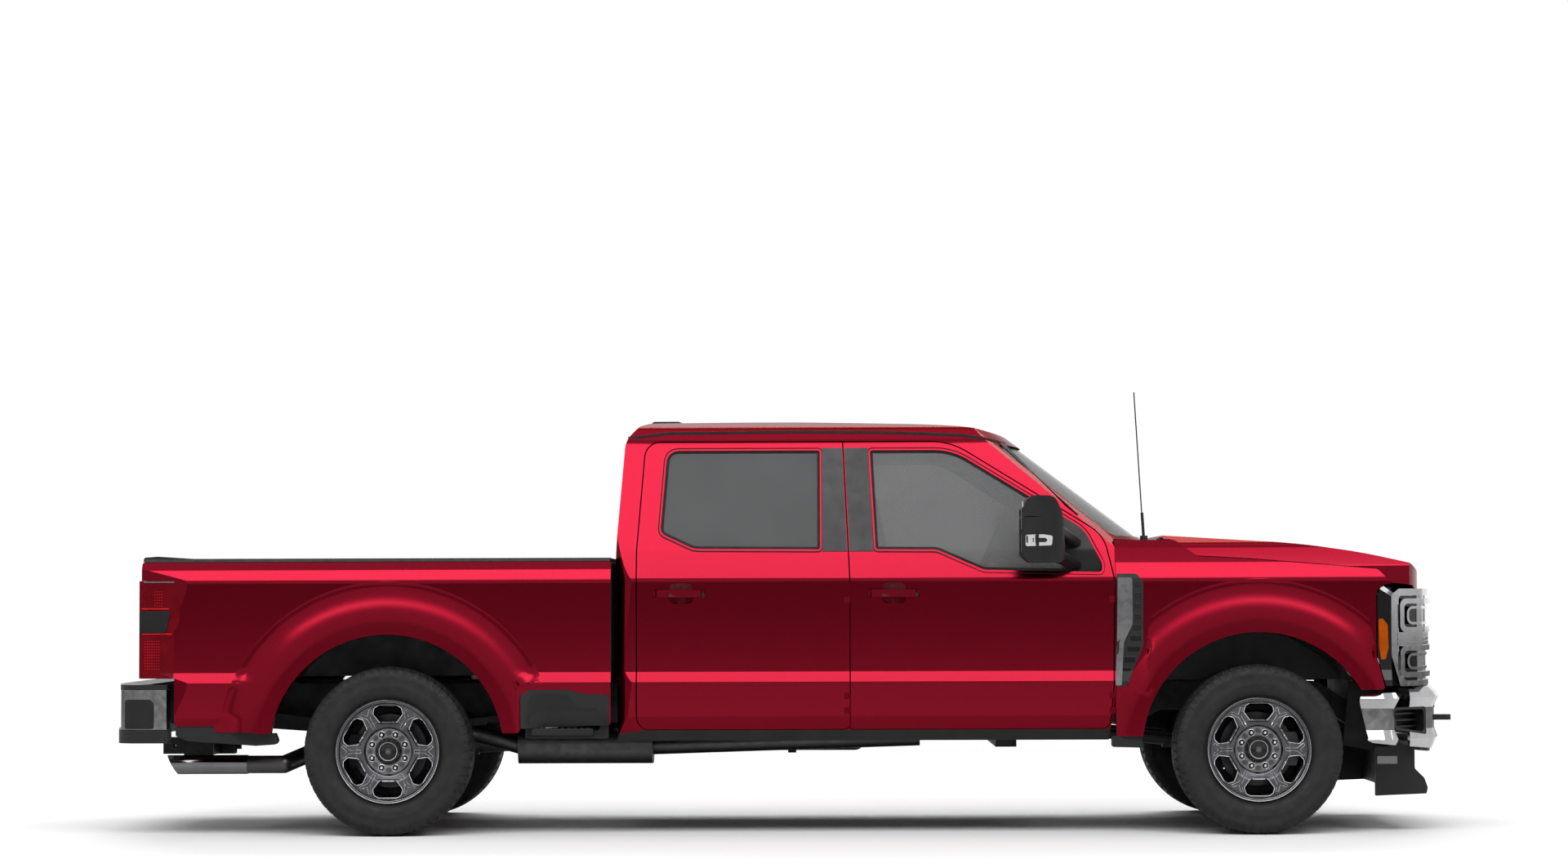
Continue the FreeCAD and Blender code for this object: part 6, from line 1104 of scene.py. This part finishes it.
def make_wheel_parts():
    window = divided(rounded(WINDOW_LIP, 5), 0.012)
    line = divided(SPOKE_LINE, 0.02)
    flange = circle(FLANGE_RADIUS, FLANGE_STEPS)
    for wheel, sign, x, y in WHEELS:
        body, node, out = "wheel_" + wheel, "rim_" + wheel, (0, sign, 0)
        lips = Build()
        loops = []
        for i in range(WINDOWS):
            loops += [(window, TAU * (i + 0.5) / WINDOWS, 0.0006, 0.0026),
                      (line, TAU * i / WINDOWS, 0.0003, 0.0013)]
        for outline, angle, lift, radius in loops + [(flange, 0.0, 0.0008, 0.0022)]:
            lips.tube(wheel_loop(node, x, y, sign, outline, angle, lift), radius, 6, True, (0, 1, 0))
        lips.make("wheel_lips_" + wheel, BRIGHT_CHROME, body, "chrome")
        face = cast((node,), (fx(x) + 0.098, sign * 1.6, TYRE_RADIUS), (0, -sign, 0))
        place = Vector((fx(x), face.y, TYRE_RADIUS))
        Build().turned(HUB_RING, place, out, 72).make("hub_ring_" + wheel, SATIN_SILVER, body, "chrome")
        nuts, cups = Build(), Build()
        for i in range(NUTS):
            a = TAU * (i + 0.5) / NUTS
            spot = place + Vector((NUT_CIRCLE * math.cos(a), 0, NUT_CIRCLE * math.sin(a)))
            cups.turned(LUG_CUP, spot, out, 24)
            nuts.turned(LUG_NUT, spot, out, 6)
            nuts.turned(LUG_RIM, spot, out, 24)
        cups.make("lug_cups_" + wheel, GLOSS_BLACK, body)
        nuts.make("lug_nuts_" + wheel, BRIGHT_CHROME, body, "chrome", smooth=False, bevel=0.0006)
        back = Vector((fx(x), sign * (y - 0.078), TYRE_RADIUS))
        Build().turned(INNER_RING, back, out, 72).make("wheel_inner_ring_" + wheel, CHASSIS, body)
        Build().turned(HUB_CAP, place, out, 60).make("hub_cap_" + wheel, GLOSS_BLACK, body)
        Build().turned(CAP_RING, place, out, 48).make("hub_cap_ring_" + wheel, BRIGHT_CHROME, body, "chrome")


# Seats: crowned cushions with sewn channels, and their headrests

def cushion(name, half, place, lean, crown, seams=(), round_by=0.06):
    """Rounded pad with a crowned top and grooves across at the given fractions."""
    work = bmesh.new()
    bmesh.ops.create_cube(work, size=2.0)
    bmesh.ops.subdivide_edges(work, edges=work.edges[:], cuts=15, use_grid_fill=True)
    turn = Matrix.Rotation(math.radians(lean), 3, "Y")
    for v in work.verts:
        u = v.co.copy()
        full = Vector((u.x * half[0], u.y * half[1], u.z * half[2]))
        r = min(round_by, half[0] * 0.95, half[1] * 0.95, half[2] * 0.95)
        core = Vector([max(-h + r, min(h - r, c)) for c, h in zip(full, half)])
        out = full - core
        p = core + (out.normalized() * r if out.length > 1e-9 else out)
        p.z += crown * (1 - u.x ** 2) * (1 - u.y ** 2) * (1 if u.z > 0 else 0.2)
        for axis, at in seams:
            gap = (u.x if axis == "x" else u.y) - at
            if u.z > 0.3:
                p.z -= 0.01 * math.exp(-(gap / 0.05) ** 2)
        v.co = Vector(place) + turn @ p
    verts = [v.co.copy() for v in work.verts]
    work.verts.index_update()
    faces = [[v.index for v in f.verts] for f in work.faces]
    work.free()
    obj = add(name, verts, faces, CLOTH, slot="seat_cloth")
    soft = obj.modifiers.new("soft", "SUBSURF")
    soft.levels = soft.render_levels = 1
    return obj


SEAT_Z, SEAT_BASE_Z = 1.11, 0.7353
SEAT_ROWS = [
    ("front_seat_left", 2.33, 0.425, 0.52, "front_seats"),
    ("front_seat_right", 2.33, -0.425, 0.52, "front_seats"),
    ("rear_seat_left", 1.4, 0.5, 0.5, "rear_seat"), ("rear_seat_middle", 1.4, 0.0, 0.48, "rear_seat"),
    ("rear_seat_right", 1.4, -0.5, 0.5, "rear_seat")]
SEAT_SEAMS = (("y", -0.55), ("y", 0.55), ("x", -0.35), ("x", 0.25))


def make_seats():
    for name, x, y, width, node in SEAT_ROWS:
        parts = [cushion(name + "_cushion", (0.25, width / 2 - 0.004, 0.068),
                         (fx(x + 0.27), y, SEAT_Z - 0.092), -3, 0.022, SEAT_SEAMS),
                 cushion(name + "_back", (0.3, width / 2 - 0.006, 0.058),
                         (fx(x - 0.04), y, SEAT_Z + 0.205), -102.5, 0.014, SEAT_SEAMS, 0.055),
                 cushion(name + "_headrest", (0.072, 0.125, 0.048),
                         (fx(x - 0.137), y, SEAT_Z + 0.622), -95, 0.012, (), 0.045)]
        for part in parts:
            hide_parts(node)
        base = Build()
        base.box((fx(x + 0.05), y - width / 2 + 0.05, SEAT_BASE_Z),
                 (fx(x + 0.46), y + width / 2 - 0.05, SEAT_Z - 0.15))
        for dy in (-0.05, 0.05):
            base.tube([(fx(x - 0.11), y + dy, SEAT_Z + 0.44), (fx(x - 0.128), y + dy, SEAT_Z + 0.6)],
                      0.006, 8, up=(0, 1, 0))
        base.make(name + "_base", INTERIOR, slot="interior", bevel=0.012)


for make_part in (make_camera, make_world, make_floor, make_lights, dress_nodes, make_tyres, split_nodes,
                  make_window_trims, make_grille_mesh, make_vents, make_headlamp_parts, make_tail_lamp_parts,
                  make_swells, make_side_pieces, make_body_parts, make_armrests, make_screen_moulding,
                  make_mirror_parts, make_wheel_parts, make_seats):
    make_part()

bpy.context.view_layer.update()
